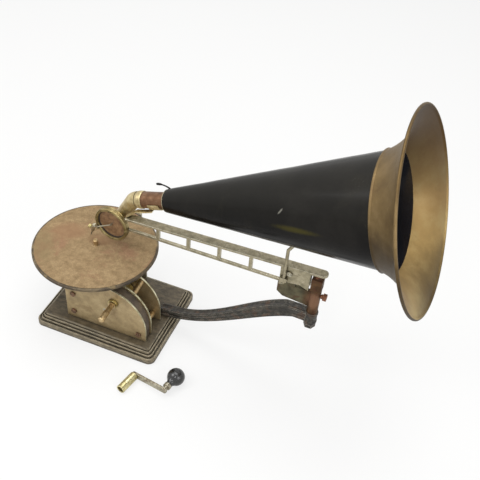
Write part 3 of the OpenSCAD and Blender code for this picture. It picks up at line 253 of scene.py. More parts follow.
# turned brass of the winding shaft and spindle: worn to a warm tan
wornTurnedBrass = agedSurface("wornTurnedBrass", {
    "tones": ("#8F7750", "#B59B70", "#D0B98E"), "patch": "#7A5C40", "patchMm": 7, "blotchMm": 8,
    "grainMm": 0.8, "grainDepth": 0.12, "rough": (0.3, 0.48), "reliefMm": 0.04, "metallic": 0.88,
    "grimeAndShadeMm": 2, "grimeAndShade": "#3B2E1E"})
# small screws of the plates: browned heads, red with rust at the slots
brownedScrew = agedSurface("brownedScrewSteel", {
    "tones": ("#5A4636", "#7C6450", "#9A8468"), "patch": "#7A4A36", "patchShare": 0.44, "patchMm": 5,
    "blotchMm": 5, "grainMm": 0.7, "grainDepth": 0.14, "rough": (0.36, 0.56), "reliefMm": 0.04,
    "metallic": 0.7, "grimeAndShadeMm": 1.5, "grimeAndShade": "#2C2118"})
# turned machined steel of shafts and posts: grey with brown oil film
steel = agedSurface("oiledTurnedSteel", {
    "tones": ("#7F7865", "#A9A390", "#C6C1AE"), "patch": "#6A5238", "patchShare": 0.36, "patchMm": 7,
    "blotchMm": 8, "grainMm": 0.7, "rough": (0.28, 0.46), "metallic": 0.95, "grimeAndShadeMm": 2,
    "grimeAndShade": "#2E271D"})
# tempered spring steel: darker, oil-blackened
springSteel = agedSurface("temperedSpringSteel", {
    "tones": ("#5E5A4E", "#858170", "#9C9886"), "patch": "#4A3F30", "patchShare": 0.35, "patchMm": 8,
    "grainMm": 0.8, "grainDepth": 0.08, "rough": (0.3, 0.46), "reliefMm": 0.02, "metallic": 0.95})
# steel left out in the damp: an even coat of brown rust with orange bloom
rustySteel = agedSurface("rustedSteelRod", {
    "tones": ("#4A3429", "#6E4A38", "#8C5C42"), "patch": "#A86E4C", "patchShare": 0.42, "patchDepth": 0.85,
    "patchMm": 13, "grainMm": 1.1, "grainDepth": 0.22, "rough": (0.55, 0.8), "reliefMm": 0.16,
    "metallic": 0.25, "patchRough": 0.1})
# cast iron yoke, its plating gone to grey brown with rust freckles
yokeMetal = agedSurface("wornCastYoke", {
    "tones": ("#544E3A", "#6C6650", "#80795E"), "patch": "#6A4A35",
    "patchMm": 11, "blotchMm": 12, "grainMm": 1.2, "grainDepth": 0.2,
    "rough": (0.42, 0.66), "reliefMm": 0.12, "metallic": 0.7, "grimeAndShadeMm": 4, "grimeAndShade": "#2D2619",
    "tint": {"axis": "X", "fromMm": 301, "toMm": 312, "raggedMm": 5, "stops": [
        (0.0, "#D6D6D2"), (0.5, "#D0B8A6"), (1.0, "#C89A7C")]}, "marks": [
            {"at": (319.5, 0, 150), "turn": (0, 0, 0), "half": (14, 16, 18), "torn": 0.7, "full": 0.5,
             "depth": 0.8, "colour": "#84624A"}]})
# nickel-plated casting of the pierced arm: dull silver, grey-olive where the plate is thin
castNickel = agedSurface("dullNickelCasting", {
    "tones": ("#857E68", "#A1987F", "#B9B098"), "patch": "#756C52", "patchShare": 0.34, "patchDepth": 0.6,
    "grainMm": 1.1, "grainDepth": 0.16, "rough": (0.34, 0.56), "reliefMm": 0.09, "metallic": 0.85,
    "grimeAndShadeMm": 5, "grimeAndShade": "#49432D"})
# the casting's corners, rubbed through to a pale shine
rubbedNickel = agedSurface("rubbedNickelEdge", {
    "tones": ("#B9B49C", "#D9D5C3", "#EEEBDD"), "patch": "#8C8462", "patchShare": 0.3, "patchMm": 8,
    "grainMm": 0.9, "rough": (0.26, 0.4), "metallic": 0.9})
# japanned cast iron of the support arm: black-brown varnish, thin and brown on the worn sides
japannedIron = agedSurface("japannedCastIron", {
    "tones": ("#1C1A16", "#302D27", "#524E45"), "patch": "#533C2B", "patchShare": 0.4, "patchDepth": 0.75,
    "patchMm": 13, "blotchMm": 6, "grainMm": 1.3, "grainDepth": 0.24, "rough": (0.34, 0.58),
    # pale edges: rubbed japanning, and a painted highlight along the ridges
    "reliefMm": 0.12, "metallic": 0.3, "patchRough": 0.12, "grimeAndShadeMm": 4, "grimeAndShade": "#1A1813", "edgeMm": 1.6,
    "wearAndHighlightDepth": 0.9, "wearAndHighlight": "#A8A294"})
# the same iron on its ridges, polished pale by hands and also a painted highlight
rubbedAndHighlitIron = agedSurface("rubbedAndHighlitIronRidge", {
    "tones": ("#6E6A60", "#918C80", "#B4AFA2"), "patch": "#57524A", "patchShare": 0.42, "patchDepth": 0.8,
    "grainDepth": 0.14, "rough": (0.3, 0.48), "reliefMm": 0.05, "metallic": 0.6})
# tinned sheet of the dust cover, lacquered dark and scorched matt
darkTin = agedSurface("lacquerDarkTin", {
    "tones": ("#40372C", "#52473A", "#655848"), "patch": "#6E5E48", "patchShare": 0.36, "patchDepth": 0.6,
    "patchMm": 18, "blotchMm": 14, "grainMm": 1.3, "grainDepth": 0.18, "rough": (0.5, 0.72),
    "reliefMm": 0.08, "metallic": 0.2})
# pressed steel turntable, plated once: dark brown on the rim
turntableSteel = agedSurface("brownedTurntableSteel", {
    "tones": ("#3A3228", "#54493A", "#786A52"), "patch": "#8E7C58", "patchShare": 0.3, "patchMm": 14,
    "blotchMm": 16, "grainMm": 1.2, "grainDepth": 0.18, "rough": (0.4, 0.62), "reliefMm": 0.08,
    "metallic": 0.6})
# what both sides of the bell share: how spun brass ages, and the height over which its tint runs
spunSheet = {"metallic": 0.75, "patchRough": 0.05, "patchMetallic": 0.7, "patchRelief": 0.1}
bellHeight = {"axis": "Z", "fromMm": 225, "toMm": 451, "raggedMm": 20}
# spun brass inside the bell under yellowed lacquer; the tint up the bell is painted light: a painted
# highlight low down, painted shade at its foot and towards the top
bellBrass = agedSurface("lacquerSpunBrass", {
    "tones": ("#A08456", "#AF905D", "#BCA26F"), "patch": "#967A4E", "patchShare": 0.3,
    "patchDepth": 0.4, "patchMm": 46, "blotchMm": 52, "grainMm": 1.6, "grainDepth": 0.04,
    "rough": (0.5, 0.6), "reliefMm": 0.015, **spunSheet, "tint": {**bellHeight, "stops": [
        (0.0, "#74746E"), (0.1, "#B4B6B0"), (0.17, "#E4E6E0"), (0.33, "#D0CECC"), (0.42, "#B4B4B2"),
        (0.52, "#9C9894"), (0.66, "#807662"), (1.0, "#5E5030")]}})
# the bell's outside: painted shade, darker than the inside, with a painted highlight band across its upper
# part
bellBack = agedSurface("shadedBellOutside", {
    "tones": ("#6E5C40", "#7F6C4A", "#907C5A"), "patch": "#6A563A", "patchShare": 0.34,
    "patchDepth": 0.5, "patchMm": 30, "blotchMm": 34, "grainMm": 1.6, "grainDepth": 0.06,
    "rough": (0.42, 0.54), "reliefMm": 0.02, **spunSheet, "tint": {**bellHeight, "stops": [
        (0.0, "#8A867C"), (0.48, "#98928A"), (0.57, "#DAD4C8"), (0.7, "#F6F0E6"), (0.78, "#EAE4DA"),
        (0.9, "#C2B8A4")]}})
# drawn copper tube, browned but still red
copperTube = agedSurface("brownedCopperTube", {
    "tones": ("#5E4634", "#76563F", "#8E6E54"), "patch": "#644B36", "patchDepth": 0.6, "rough": (0.34, 0.5),
    "reliefMm": 0.04, "metallic": 0.85})
# bent brass tube of the elbow: olive with grey solder smears
elbowBrass = agedSurface("tarnishedElbowBrass", {
    "tones": ("#A08F66", "#BFAE84", "#D6C79C"), "patch": "#B8A98A", "patchShare": 0.34, "patchDepth": 0.6,
    "blotchMm": 10, "grainDepth": 0.12, "rough": (0.32, 0.48), "reliefMm": 0.05, "metallic": 0.85,
    "grimeAndShadeMm": 3, "grimeAndShade": "#3B3119"})
# turned brass of the soundbox
soundboxBrass = agedSurface("turnedSoundboxBrass", {
    "tones": ("#75663F", "#93835A", "#AD9E72"), "patch": "#5E4E30", "blotchMm": 11, "grainMm": 0.8,
    "grainDepth": 0.12, "rough": (0.32, 0.5), "reliefMm": 0.04, "metallic": 0.85, "grimeAndShadeMm": 2.5,
    "grimeAndShade": "#33290F"})
# turned brass of the crank's socket, pale with handling
crankBrass = agedSurface("handledCrankBrass", {
    "tones": ("#A69A6A", "#CBC190", "#E0D8AC"), "patch": "#83744A", "patchShare": 0.36, "patchDepth": 0.75,
    "patchMm": 8, "grainMm": 0.8, "rough": (0.26, 0.42), "metallic": 0.92, "grimeAndShadeMm": 2,
    "grimeAndShade": "#4A3E22"})

print("materials: lacquer, wood, felt, mica and rubber")
# baked black enamel on the tin horn: deep gloss with a haze of fine scuffs
hornEnamel = agedSurface("blackHornEnamel", {
    "tones": ("#0D0C0B", "#131110", "#1C1A18"), "patch": "#23201A", "patchShare": 0.34,
    "patchDepth": 0.5, "patchMm": 70, "blotchMm": 60, "grainMm": 2.4, "grainDepth": 0.06,
    "rough": (0.16, 0.24), "reliefMm": 0.004, "ior": 1.16, "patchRough": 0.12,
    # upward faces lightened: dust, and a painted sheen of light from above
    "patchRelief": 0.1, "dust": "#3F3E3A", "dustDepth": 0.34, "marks": [
        {"at": (266.7, -32.5, 311), "turn": (0, -62, 0), "half": (6, 7, 1.1), "torn": 0.9, "full": 0.5,
         "depth": 0.75, "colour": "#8A887E"},
        # an olive streak low on the cone: a painted reflection
        {"at": (290, -42, 299.5), "turn": (0, -17, -13.3), "half": (40, 14, 5.5), "torn": 0.4, "full": 0.2,
         "depth": 0.6, "colour": "#4A4412"}]})
# the same enamel inside the horn, where nothing has scuffed it: blue-black and mirror-bright
throatEnamel = agedSurface("glossyThroatEnamel", {
    "tones": ("#101116", "#15161B", "#1D1E24"), "patch": "#1A1A1C", "patchShare": 0.3, "patchDepth": 0.5,
    "patchMm": 60, "blotchMm": 50, "grainMm": 2.4, "grainDepth": 0.06, "rough": (0.09, 0.14),
    "reliefMm": 0.002, "patchRough": 0.05, "patchRelief": 0.1})
# ebonised turned knob: black polish over close-grained wood
ebonisedKnob = agedSurface("ebonisedKnobWood", {
    "tones": ("#0E0E0D", "#161615", "#222120"), "patch": "#2A2825", "patchShare": 0.3, "patchDepth": 0.5,
    "patchMm": 10, "blotchMm": 12, "grainMm": 0.9, "rough": (0.2, 0.34), "reliefMm": 0.02, "coat": 0.4,
    "coatRough": 0.1})
# base of painted oak: black-brown stain rubbed off to grey in streaks that run along the board
paintedOak = agedSurface("wornStainedOak", {
    "tones": ("#5E5545", "#7C715C", "#958871"), "patch": "#575040",
    "patchDepth": 0.6, "patchMm": 18, "blotchMm": 5, "grainMm": 1.1, "grainDepth": 0.24,
    "rough": (0.4, 0.66), "reliefMm": 0.12, "ior": 1.45, "patchRough": 0.1,
    # pale edges: rubbed stain, and a painted highlight along the moulding
    "stretch": (0.45, 1.0, 1.0), "grimeAndShadeMm": 7, "grimeAndShade": "#1A1711", "edgeMm": 2.4, "wearAndHighlightDepth": 1.0,
    "wearAndHighlight": "#BDB298", "tint": {"axis": "Z", "fromMm": 19.3, "toMm": 19.9, "raggedMm": 0.4, "stops": [
        (0.0, "#FFFFFF"), (0.5, "#D8D6D0"), (1.0, "#B4B0A8")]}})
# gasket rubber: perished grey-black
gasketRubber = agedSurface("perishedGasketRubber", {
    "tones": ("#282420", "#38322D", "#48413A"), "patch": "#544A3E", "patchShare": 0.3, "patchDepth": 0.6,
    "patchMm": 4, "blotchMm": 5, "grainMm": 0.6, "grainDepth": 0.12, "rough": (0.6, 0.8)})
# mica sheet browned by age, with cloudy layers
brownMica = agedSurface("brownedMicaSheet", {
    "tones": ("#6A4E36", "#846448", "#9C7C5A"), "patch": "#5A4028", "patchShare": 0.36, "patchDepth": 0.6,
    "patchMm": 8, "blotchMm": 7, "grainMm": 0.7, "rough": (0.25, 0.45), "ior": 1.58})
# thin wool felt, faded tan and stained with rust from the plate under it
wornFelt = agedSurface("fadedTurntableFelt", {
    "tones": ("#806A4B", "#8F7857", "#9C8562"), "patch": "#8E6852",
    "patchDepth": 0.55, "patchMm": 44, "blotchMm": 8, "grainDepth": 0.2,
    "rough": (0.8, 0.95), "reliefMm": 0.12, "ior": 1.4, "patchRelief": 0.2, "marks": [
        {"at": (-48, 8, 125), "turn": (0, 0, 25), "half": (36, 24, 8), "torn": 0.9, "full": 0.4,
         "depth": 0.7, "colour": "#88674B"},
        {"at": (-66, -34, 125), "turn": (0, 0, -60), "half": (52, 24, 8), "torn": 0.9, "full": 0.4,
         "depth": 0.6, "colour": "#7E6C4C"},
        {"at": (4, 12, 125), "turn": (0, 0, 10), "half": (30, 16, 8), "torn": 0.9, "full": 0.4,
         "depth": 0.6, "colour": "#8A6A4C"}]})

# which finish each slot of the record has
finishOfSlot = {
    "base_wood": paintedOak, "plate_brass": plateBrass, "steel": steel, "dark_tin": darkTin,
    "gear_brass": gearBrass, "black_iron": japannedIron, "rusty_steel": rustySteel,
    "crank_brass": crankBrass, "black_knob": ebonisedKnob, "turntable_metal": turntableSteel,
    "worn_felt": wornFelt, "spring_steel": springSteel, "yoke_metal": yokeMetal,
    "dull_nickel": castNickel, "horn_black": hornEnamel, "bell_brass": bellBrass,
    "copper_tube": copperTube, "elbow_brass": elbowBrass, "soundbox_brass": soundboxBrass,
    "mica": brownMica, "gasket_rubber": gasketRubber}
# slots whose rubbed corners show another finish; on brass, tin and iron that finish is also a painted
# highlight
cornerOfSlot = {
    "plate_brass": brightBrassEdge, "dark_tin": brightBrassEdge, "black_iron": rubbedAndHighlitIron,
    "dull_nickel": rubbedNickel}
# nodes whose own wear, on faces and corners alike, sets them apart from the rest of their slot
finishOfNode = {
    "winding_shaft": wornTurnedBrass, "spindle": wornTurnedBrass, "plate_pillars": wornTurnedBrass,
    "base_screws": crankBrass, "plate_screws": brownedScrew}
slotOfNode = {row["node"]: row["material_slot"] for row in frame["record"]["subparts"]}


# Surfaces worked out on grids

def inScene(name, data):
    holder = bpy.data.objects.new(name, data)
    bpy.context.scene.collection.objects.link(holder)
    return holder


# points nearer than this are one, and faces thinner than this are dropped, in metres
meshLook = {"weld": 2e-7, "thin": 1e-7}


def gridMesh(name, grids):
    # each grid is rows by columns of points in mm, joined round in both directions; equal points are welded
    points, faces, start = [], [], 0
    for grid in grids:
        rows, columns = grid.shape[:2]
        a = np.arange(rows * columns).reshape(rows, columns) + start
        b, d = np.roll(a, -1, 1), np.roll(a, -1, 0)
        faces.append(np.stack([a, b, np.roll(b, -1, 0), d], -1).reshape(-1, 4))
        points.append(grid.reshape(-1, 3))
        start += rows * columns
    mesh = bpy.data.meshes.new(name)
    mesh.from_pydata((np.concatenate(points) * mm).tolist(), [], np.concatenate(faces).tolist())
    work = bmesh.new()
    work.from_mesh(mesh)
    bmesh.ops.remove_doubles(work, verts=work.verts, dist=meshLook["weld"])
    bmesh.ops.dissolve_degenerate(work, edges=work.edges, dist=meshLook["thin"])
    bmesh.ops.recalc_face_normals(work, faces=work.faces)
    work.to_mesh(mesh)
    work.free()
    return mesh


def softCorners(corners, radius, steps=4, most=0.45):
    # a closed outline with each corner c eased by a short curve between the points p and q, a radius off it
    # but at most that share of a side: (1-t)^2 p + 2t(1-t) c + t^2 q
    c = np.array(corners, float)
    before, after = np.roll(c, 1, 0) - c, np.roll(c, -1, 0) - c
    reach = np.broadcast_to(radius, len(c))[:, None]
    lengths = [np.linalg.norm(v, axis=1, keepdims=True) for v in (before, after)]
    p, q = (c + v / size * np.minimum(reach, size * most) for v, size in zip((before, after), lengths))
    t = np.linspace(0, 1, steps)[None, :, None]
    return ((1 - t) ** 2 * p[:, None] + 2 * t * (1 - t) * c[:, None] + t ** 2 * q[:, None]).reshape(-1, 2)


def lathe(profile, sides=96, place=None, wobble=None):
    # a closed profile of (radius, height) turned round z: x = r cos v, y = r sin v, z = h
    profile = np.array(profile, float)
    v = np.linspace(0, 2 * np.pi, sides, endpoint=False)[None, :]
    r, h = profile[:, 0, None] + 0 * v, profile[:, 1, None] + 0 * v
    if wobble is not None:
        r = r + wobble(v, h)
    return placed(np.stack([r * np.cos(v), r * np.sin(v), h], -1), place)


def placed(points, place):
    # points carried to where a frame, a 4 by 4 matrix in mm, puts them
    if place is None:
        return points
    m = np.array(place, float)
    return points @ m[:3, :3].T + m[:3, 3]


def bezier(a, b, c, d, count):
    # points on a cubic curve: (1-t)^3 a + 3t(1-t)^2 b + 3t^2(1-t) c + t^3 d
    t = np.linspace(0, 1, count)[:, None]
    a, b, c, d = (np.array(p, float) for p in (a, b, c, d))
    return (1 - t) ** 3 * a + 3 * t * (1 - t) ** 2 * b + 3 * t ** 2 * (1 - t) * c + t ** 3 * d


def arcAbout(middle, radius, fromDegrees, toDegrees, count):
    # points on a circle of a profile: middle + radius (cos v, sin v)
    v = np.linspace(math.radians(fromDegrees), math.radians(toDegrees), count)[:, None]
    return np.array(middle) + radius * np.concatenate([np.cos(v), np.sin(v)], 1)


def capped(rings):
    # rows of points closed at both ends by a row gathered in its middle
    first, last = (row.mean(1, keepdims=True) + 0 * row for row in (rings[:1], rings[-1:]))
    return np.concatenate([first, rings, last])


def along(path, radii, sides=40, across=(0.8, 0.0, -0.6)):
    # rings carried along a path: centre + r (side cos v + normal sin v), side and normal square to the path
    path = np.array(path, float)
    tangent = np.gradient(path, axis=0)
    tangent /= np.linalg.norm(tangent, axis=1, keepdims=True)
    side = np.cross(tangent, np.array(across))
    side /= np.linalg.norm(side, axis=1, keepdims=True)
    normal = np.cross(side, tangent)
    v = np.linspace(0, 2 * np.pi, sides, endpoint=False)[None, :, None]
    ring = side[:, None] * np.cos(v) + normal[:, None] * np.sin(v)
    return path[:, None] + np.broadcast_to(radii, len(path))[:, None, None] * ring


def turnedFrame(origin, *turns):
    # a frame in mm: turns as (degrees, axis) applied one inside the other, then moved to its origin
    m = Matrix.Translation(origin)
    for degrees, axis in turns:
        m = m @ Matrix.Rotation(math.radians(degrees), 4, axis)
    return m


def addPiece(name, grids, body, slot, replaced=(), sharp=32, finish=None):
    # grids as one piece of the scene: smooth with sharp creases, its finish, the body it rides on
    mesh = gridMesh(name, grids)
    piece = inScene(name, mesh)
    mesh.materials.append(finish or finishOfSlot[slot])
    mesh.shade_smooth()
    mesh.set_sharp_from_angle(angle=math.radians(sharp))
    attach(piece, body)
    if replaced:
        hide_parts(*replaced)
    return piece


hornFrame = turnedFrame((285, 10, 292.7), (-2.4, "Z"), (70.9, "Y"))
soundboxFrame = turnedFrame((21.2, 8, 163), (90, "X"), (-7, "Y"))
crankFrame = turnedFrame((161.3, -111, 12.5), (-12.57, "Z"), (-7.04, "Y"))


# Base board

print("base board")
baseLook = {"long": 190, "wide": 150, "middleX": 29.5, "corner": 10, "edgeMm": 0.35, "wornRows": 26}
# the moulding from the floor up, as (inset, height): slab, bead, ogee and the deck's rounded nosing
baseMoulding = [
    (2.2, 0), (0.5, 0), (0, 0.7), (0, 8.4), (0.3, 9.4), (1.0, 10), (1.9, 10), (2.3, 9.7), (2.4, 8.0),
    (4.3, 8.0), (4.4, 10.6), (4.6, 11.9), (5.2, 12.6), (6.1, 12.6), (6.6, 12.1), (6.7, 10.8), (7.6, 10.8),
    (7.7, 14.6), (7.9, 15.8), (8.4, 16.4), (9.2, 16.4), (9.5, 15.9), (9.6, 14.6), (10.4, 14.6),
    (10.5, 18.9), (10.8, 19.7), (11.5, 20), (13, 20), (18, 20), (30, 20), (50, 20), (75, 20)]


def roundedRings(sections, look, arcSteps=9, sideSteps=26, shrink=0.6, least=0.4):
    # every (inset, height) becomes a rounded rectangle: corner centre + r (cos v, sin v), sides filled in;
    # its corner's radius shrinks with the inset
    inset, height = np.array(sections, float).T[:, :, None]
    radius = np.maximum(look["corner"] - inset * shrink, least)
    halfX, halfY = look["long"] / 2 - inset, look["wide"] / 2 - inset
    radius = np.minimum(radius, halfY)
    quarter = np.repeat(np.arange(4), arcSteps)
    v = quarter * np.pi / 2 + np.tile(np.linspace(0, np.pi / 2, arcSteps), 4)
    signX, signY = np.array([1, -1, -1, 1])[quarter], np.array([1, 1, -1, -1])[quarter]
    x = signX * (halfX - radius) + radius * np.cos(v)
    y = signY * (halfY - radius) + radius * np.sin(v)
    arcs = np.stack([x + look["middleX"], y, height + 0 * x], -1)
    # places along the ring of arc points: the arc's own points, then even shares of the way to the next arc
    oneCorner = np.append(np.arange(arcSteps - 1), arcSteps - 1 + np.arange(sideSteps) / sideSteps)
    steps = np.concatenate([oneCorner + k * arcSteps for k in range(4)])
    low = np.floor(steps).astype(int)
    share = (steps - low)[None, :, None]
    return arcs[:, low] * (1 - share) + arcs[:, (low + 1) % arcs.shape[1]] * share


waveLook = {"count": 6, "rate": 2, "shift": 6.28, "gain": 1.6}


def unevenness(points, size, seed):
    # a gentle rise and fall between about -1 and 1: the mean of some sine waves in different directions
    rng = np.random.default_rng(seed)
    waves = rng.normal(size=(waveLook["count"], 3)) / size * waveLook["rate"]
    shifts = rng.uniform(0, waveLook["shift"], waveLook["count"])
    return np.sin(points @ waves.T + shifts).mean(-1) * waveLook["gain"]


board = roundedRings(baseMoulding + [(baseLook["wide"] / 2, 0)], baseLook)
worn = np.clip(unevenness(board, 5, 3), 0, 1) * baseLook["edgeMm"]
inwards = np.stack([board[..., 0] - baseLook["middleX"], board[..., 1], 0 * board[..., 0]], -1)
inwards /= np.maximum(np.linalg.norm(inwards, axis=-1, keepdims=True), 1)
edgeRows = (np.arange(len(board)) < baseLook["wornRows"])[:, None, None]
board = board - inwards * worn[..., None] * edgeRows
addPiece("baseBoard", [board], "root", "base_wood", ["base_board"], sharp=50)


# Horn, bell, tube and elbow

print("horn")
hornLook = {"start": -191.5, "end": 112, "smallRadius": 15.7, "taper": 0.181, "wall": 0.8,
            "seamAt": -62, "seamWide": 4.5, "seamHigh": 0.45, "seamEdge": 6, "seamPower": 50, "lip": 0.5,
            "plainMouth": 14, "fadeMouth": 30, "plainTube": 8, "fadeTube": 40, "dentMm": 0.175}
# its dents: (share, how many round the cone, mm along it for one radian aslant and one straight, shift)
hornDents = [(1.0, 2, 37, 23, 1.3), (0.6, 5, -17, 13, 0)]


def coneRadius(t, look=hornLook):
    # the cone's outer radius: it grows evenly along the horn
    return look["smallRadius"] + look["taper"] * (t - look["start"])


def seamAndDents(v, h, look=hornLook):
    # the lapped seam: a low step along one line of the cone, high / (1 + e^(how far past its edge)),
    # and shallow dents that any old tin horn has; both fade out near the cone's ends
    off = (np.degrees(v) - look["seamAt"] + 180) % 360 - 180
    past = np.abs(np.radians(off) * coneRadius(h)) - look["seamWide"] / 2
    lap = look["seamHigh"] / (1 + np.exp(np.minimum(past * look["seamEdge"], look["seamPower"])))
    dents = sum(share * np.sin(v * count + h / aslant) * np.sin(h / straight + shift)
                for share, count, aslant, straight, shift in hornDents)
    fade = np.clip((look["end"] - look["plainMouth"] - h) / look["fadeMouth"], 0, 1)
    fade = fade * np.clip((h - look["start"] - look["plainTube"]) / look["fadeTube"], 0, 1)
    return (lap - look["dentMm"] * np.abs(dents)) * fade


def faceVectors(mesh, kind):
    # every face's "center" or "normal", one row for each
    found = np.empty(len(mesh.polygons) * 3)
    mesh.polygons.foreach_get(kind, found)
    return found.reshape(-1, 3)


def otherInside(mesh, finish):
    # faces that look towards the horn's axis take the inside's finish
    mesh.materials.append(finish)
    axis = np.array(hornFrame)[:3, 2]
    outwards = faceVectors(mesh, "center") - np.array(hornFrame)[:3, 3] * mm
    outwards -= np.outer(outwards @ axis, axis)
    inside = (faceVectors(mesh, "normal") * outwards).sum(1) < 0
    mesh.polygons.foreach_set("material_index", inside.astype(np.int32))


t = np.linspace(hornLook["start"] + hornLook["lip"], hornLook["end"], 74)
coneOut = np.stack([coneRadius(t), t], -1)
coneIn = np.stack([coneRadius(t[::-1]) - hornLook["wall"], t[::-1]], -1)
smallLip = np.array([(-0.65, 0.1), (-0.4, 0), (-0.15, 0.1)]) + (hornLook["smallRadius"], hornLook["start"])
coneProfile = np.concatenate([coneOut, coneIn, smallLip])
cone = addPiece("hornCone", [lathe(coneProfile, 160, hornFrame, seamAndDents)],
                "ladder_arm", "horn_black", ["horn_cone"], sharp=60)
otherInside(cone.data, throatEnamel)

bellLook = {"start": 101, "mouth": 117.5, "end": 142.2, "wall": 0.9, "bead": 1.9, "lip": 1.15}
# the middle of the bell's wall: it leaves the cone almost straight and flares towards the bead
throat = coneRadius(bellLook["start"])
bellMid = bezier((throat + 0.5, bellLook["start"]), (throat + 2.9, 110),
                 (bellLook["mouth"] - 31.6, 136), (bellLook["mouth"] - 0.4, bellLook["end"]), 60)
slope = np.gradient(bellMid, axis=0)
slope /= np.linalg.norm(slope, axis=1, keepdims=True)
away = np.stack([slope[:, 1], -slope[:, 0]], -1)
bead = arcAbout((bellLook["mouth"], bellLook["end"]), bellLook["bead"], -60, 175, 18)
lip = arcAbout(bellMid[0] + (0.62, 0.2), bellLook["lip"], 200, 330, 9)
bellOutside = bellMid + away * bellLook["wall"] / 2
bellInside = bellMid - away * bellLook["wall"] / 2
bellProfile = np.concatenate([bellOutside[3:-2], bead, bellInside[:-3][::-1], lip])
bell = addPiece("hornBell", [lathe(bellProfile, 192, hornFrame)],
                "ladder_arm", "bell_brass", ["horn_bell"], sharp=70, finish=bellBack)
otherInside(bell.data, bellBrass)

tubeProfile = softCorners([(10.4, -235), (11.4, -235), (11.4, -192.1), (14.5, -191.8), (14.7, -191.1),
                           (15.7, -185.5), (11.3, -185.1), (11.3, -184.5), (10.4, -184.5)], 0.25)
addPiece("hornTube", [lathe(tubeProfile, 72, hornFrame)], "ladder_arm", "copper_tube", ["horn_tube"])
ferruleProfile = softCorners([(11.45, -194.4), (12.1, -194.4), (12.9, -193.8), (14.2, -193.2),
                              (15.2, -192.7), (15.5, -192.2), (15.2, -191.7), (11.45, -191.7)], 0.3)
addPiece("hornFerrule", [lathe(ferruleProfile, 72, hornFrame)], "ladder_arm", "dull_nickel")

print("elbow")
hornAxis = np.array(hornFrame)[:3, 2]
hornOrigin = np.array(hornFrame)[:3, 3]
boxIn = -np.array(soundboxFrame)[:3, 2]
boxMiddle = np.array(soundboxFrame)[:3, 3]
elbowLook = {"wide": 11.3, "slim": 8.9, "wall": 0.9, "firstBend": 15, "secondBend": 11, "start": 235,
             "firstCorner": 245.5, "secondCorner": 28.4, "end": 14.3}


def roundedCorner(a, b, c, radius, count):
    # points of a circular bend at corner b: middle + r (e cos s - u sin s), u and v run from b to a and c
    u, v = (a - b) / np.linalg.norm(a - b), (c - b) / np.linalg.norm(c - b)
    half = math.acos(float(u @ v)) / 2
    middle = b + (u + v) / np.linalg.norm(u + v) * radius / math.sin(half)
    e = b + u * radius / math.tan(half) - middle
    s = np.linspace(0, math.pi - 2 * half, count)[:, None]
    return middle + e * np.cos(s) - u * radius * np.sin(s)


# the elbow runs down the horn's axis, bends towards the soundbox and enters it square to its back
start, firstCorner = (hornOrigin - elbowLook[k] * hornAxis for k in ("start", "firstCorner"))
secondCorner, end = (boxMiddle + elbowLook[k] * boxIn for k in ("secondCorner", "end"))
bends = [roundedCorner(start, firstCorner, secondCorner, elbowLook["firstBend"], 16),
         roundedCorner(firstCorner, secondCorner, end, elbowLook["secondBend"], 22)]
middleRun = bends[0][-1] + np.linspace(0.08, 0.92, 10)[:, None] * (bends[1][0] - bends[0][-1])
elbowPath = np.concatenate([bends[0], middleRun, bends[1], [end]])
elbowWide = np.linspace(elbowLook["wide"], elbowLook["slim"], len(elbowPath))
elbowOut, elbowIn = (along(elbowPath, elbowWide - wall, 56) for wall in (0, elbowLook["wall"]))
tube = np.concatenate([elbowOut, elbowIn[::-1]])
collar = softCorners([(11.45, -234.9), (11.45, -229), (11.8, -229), (12.2, -230), (12.2, -235.6),
                      (11.8, -237.6), (11, -239.4), (10.6, -235)], 0.6)
spigot = softCorners([(6, -8.4), (7, -8.4), (7, -14.1), (7.7, -14.3), (7.9, -15), (7.7, -15.8),
                      (7.3, -16.1), (6.2, -14.4)], 0.25)
addPiece("elbow", [tube, lathe(collar, 72, hornFrame), lathe(spigot, 64, soundboxFrame)],
         "ladder_arm", "elbow_brass", ["horn_elbow"], sharp=45)


# Support arm

print("support arm")
armLook = {"front": 3.5, "thick": 13, "bossTop": 126, "post": (319.5, 10, 0)}
# its top and bottom lines as (x, z): a foot on the base, one long S up to the boss under the post
armTop = np.concatenate([[(84, 25), (90, 25.2), (95.5, 25.2), (97.2, 27), (98.4, 30.6), (104, 33)],
                         bezier((112, 34), (188, 36), (238, 122), (306, 132), 44)[:-1],
                         [(311, 125.4), (316, 125.2)]])
armUnder = np.concatenate([[(84, 20), (90, 20), (95.5, 20), (98, 20), (100, 20), (106, 20)],
                           bezier((118, 21), (190, 32), (245, 92), (300, 110), 44)[:-1],
                           [(311, 108), (316, 105.6)]])
armTop[:, 1] = np.minimum(armTop[:, 1], armLook["bossTop"])
# the cast section as shares of the thickness and the height: beads along the edges, sunk panels between
armSection = softCorners([
    (0.05, 0), (0, 0.05), (0, 0.2), (0.1, 0.26), (0.1, 0.5), (0.02, 0.56), (0.0, 0.7), (0.06, 0.76),
    (0.12, 0.8), (0.04, 0.86), (0.03, 0.97), (0.14, 1.0), (0.26, 0.985), (0.34, 0.93), (0.72, 0.93),
    (0.8, 1.0), (0.95, 1.0), (1, 0.94), (1, 0.78), (0.93, 0.7), (0.93, 0.26), (1, 0.2), (1, 0.05),
    (0.95, 0)], 0.02, 3)
share = armSection[None, :, 1, None]
middleLine = armUnder[:, None] * (1 - share) + armTop[:, None] * share
across = armLook["front"] + armLook["thick"] * armSection[None, :, 0] + 0 * middleLine[..., 0]
armGrid = capped(np.stack([middleLine[..., 0], across, middleLine[..., 1]], -1))
boss = softCorners([(5.05, 104), (7.6, 104), (8.6, 105.2), (9, 107), (9, 110), (8.4, 111), (8.4, 121),
                    (9, 122.2), (9, 125), (8, 126), (5.05, 126)], 0.6)
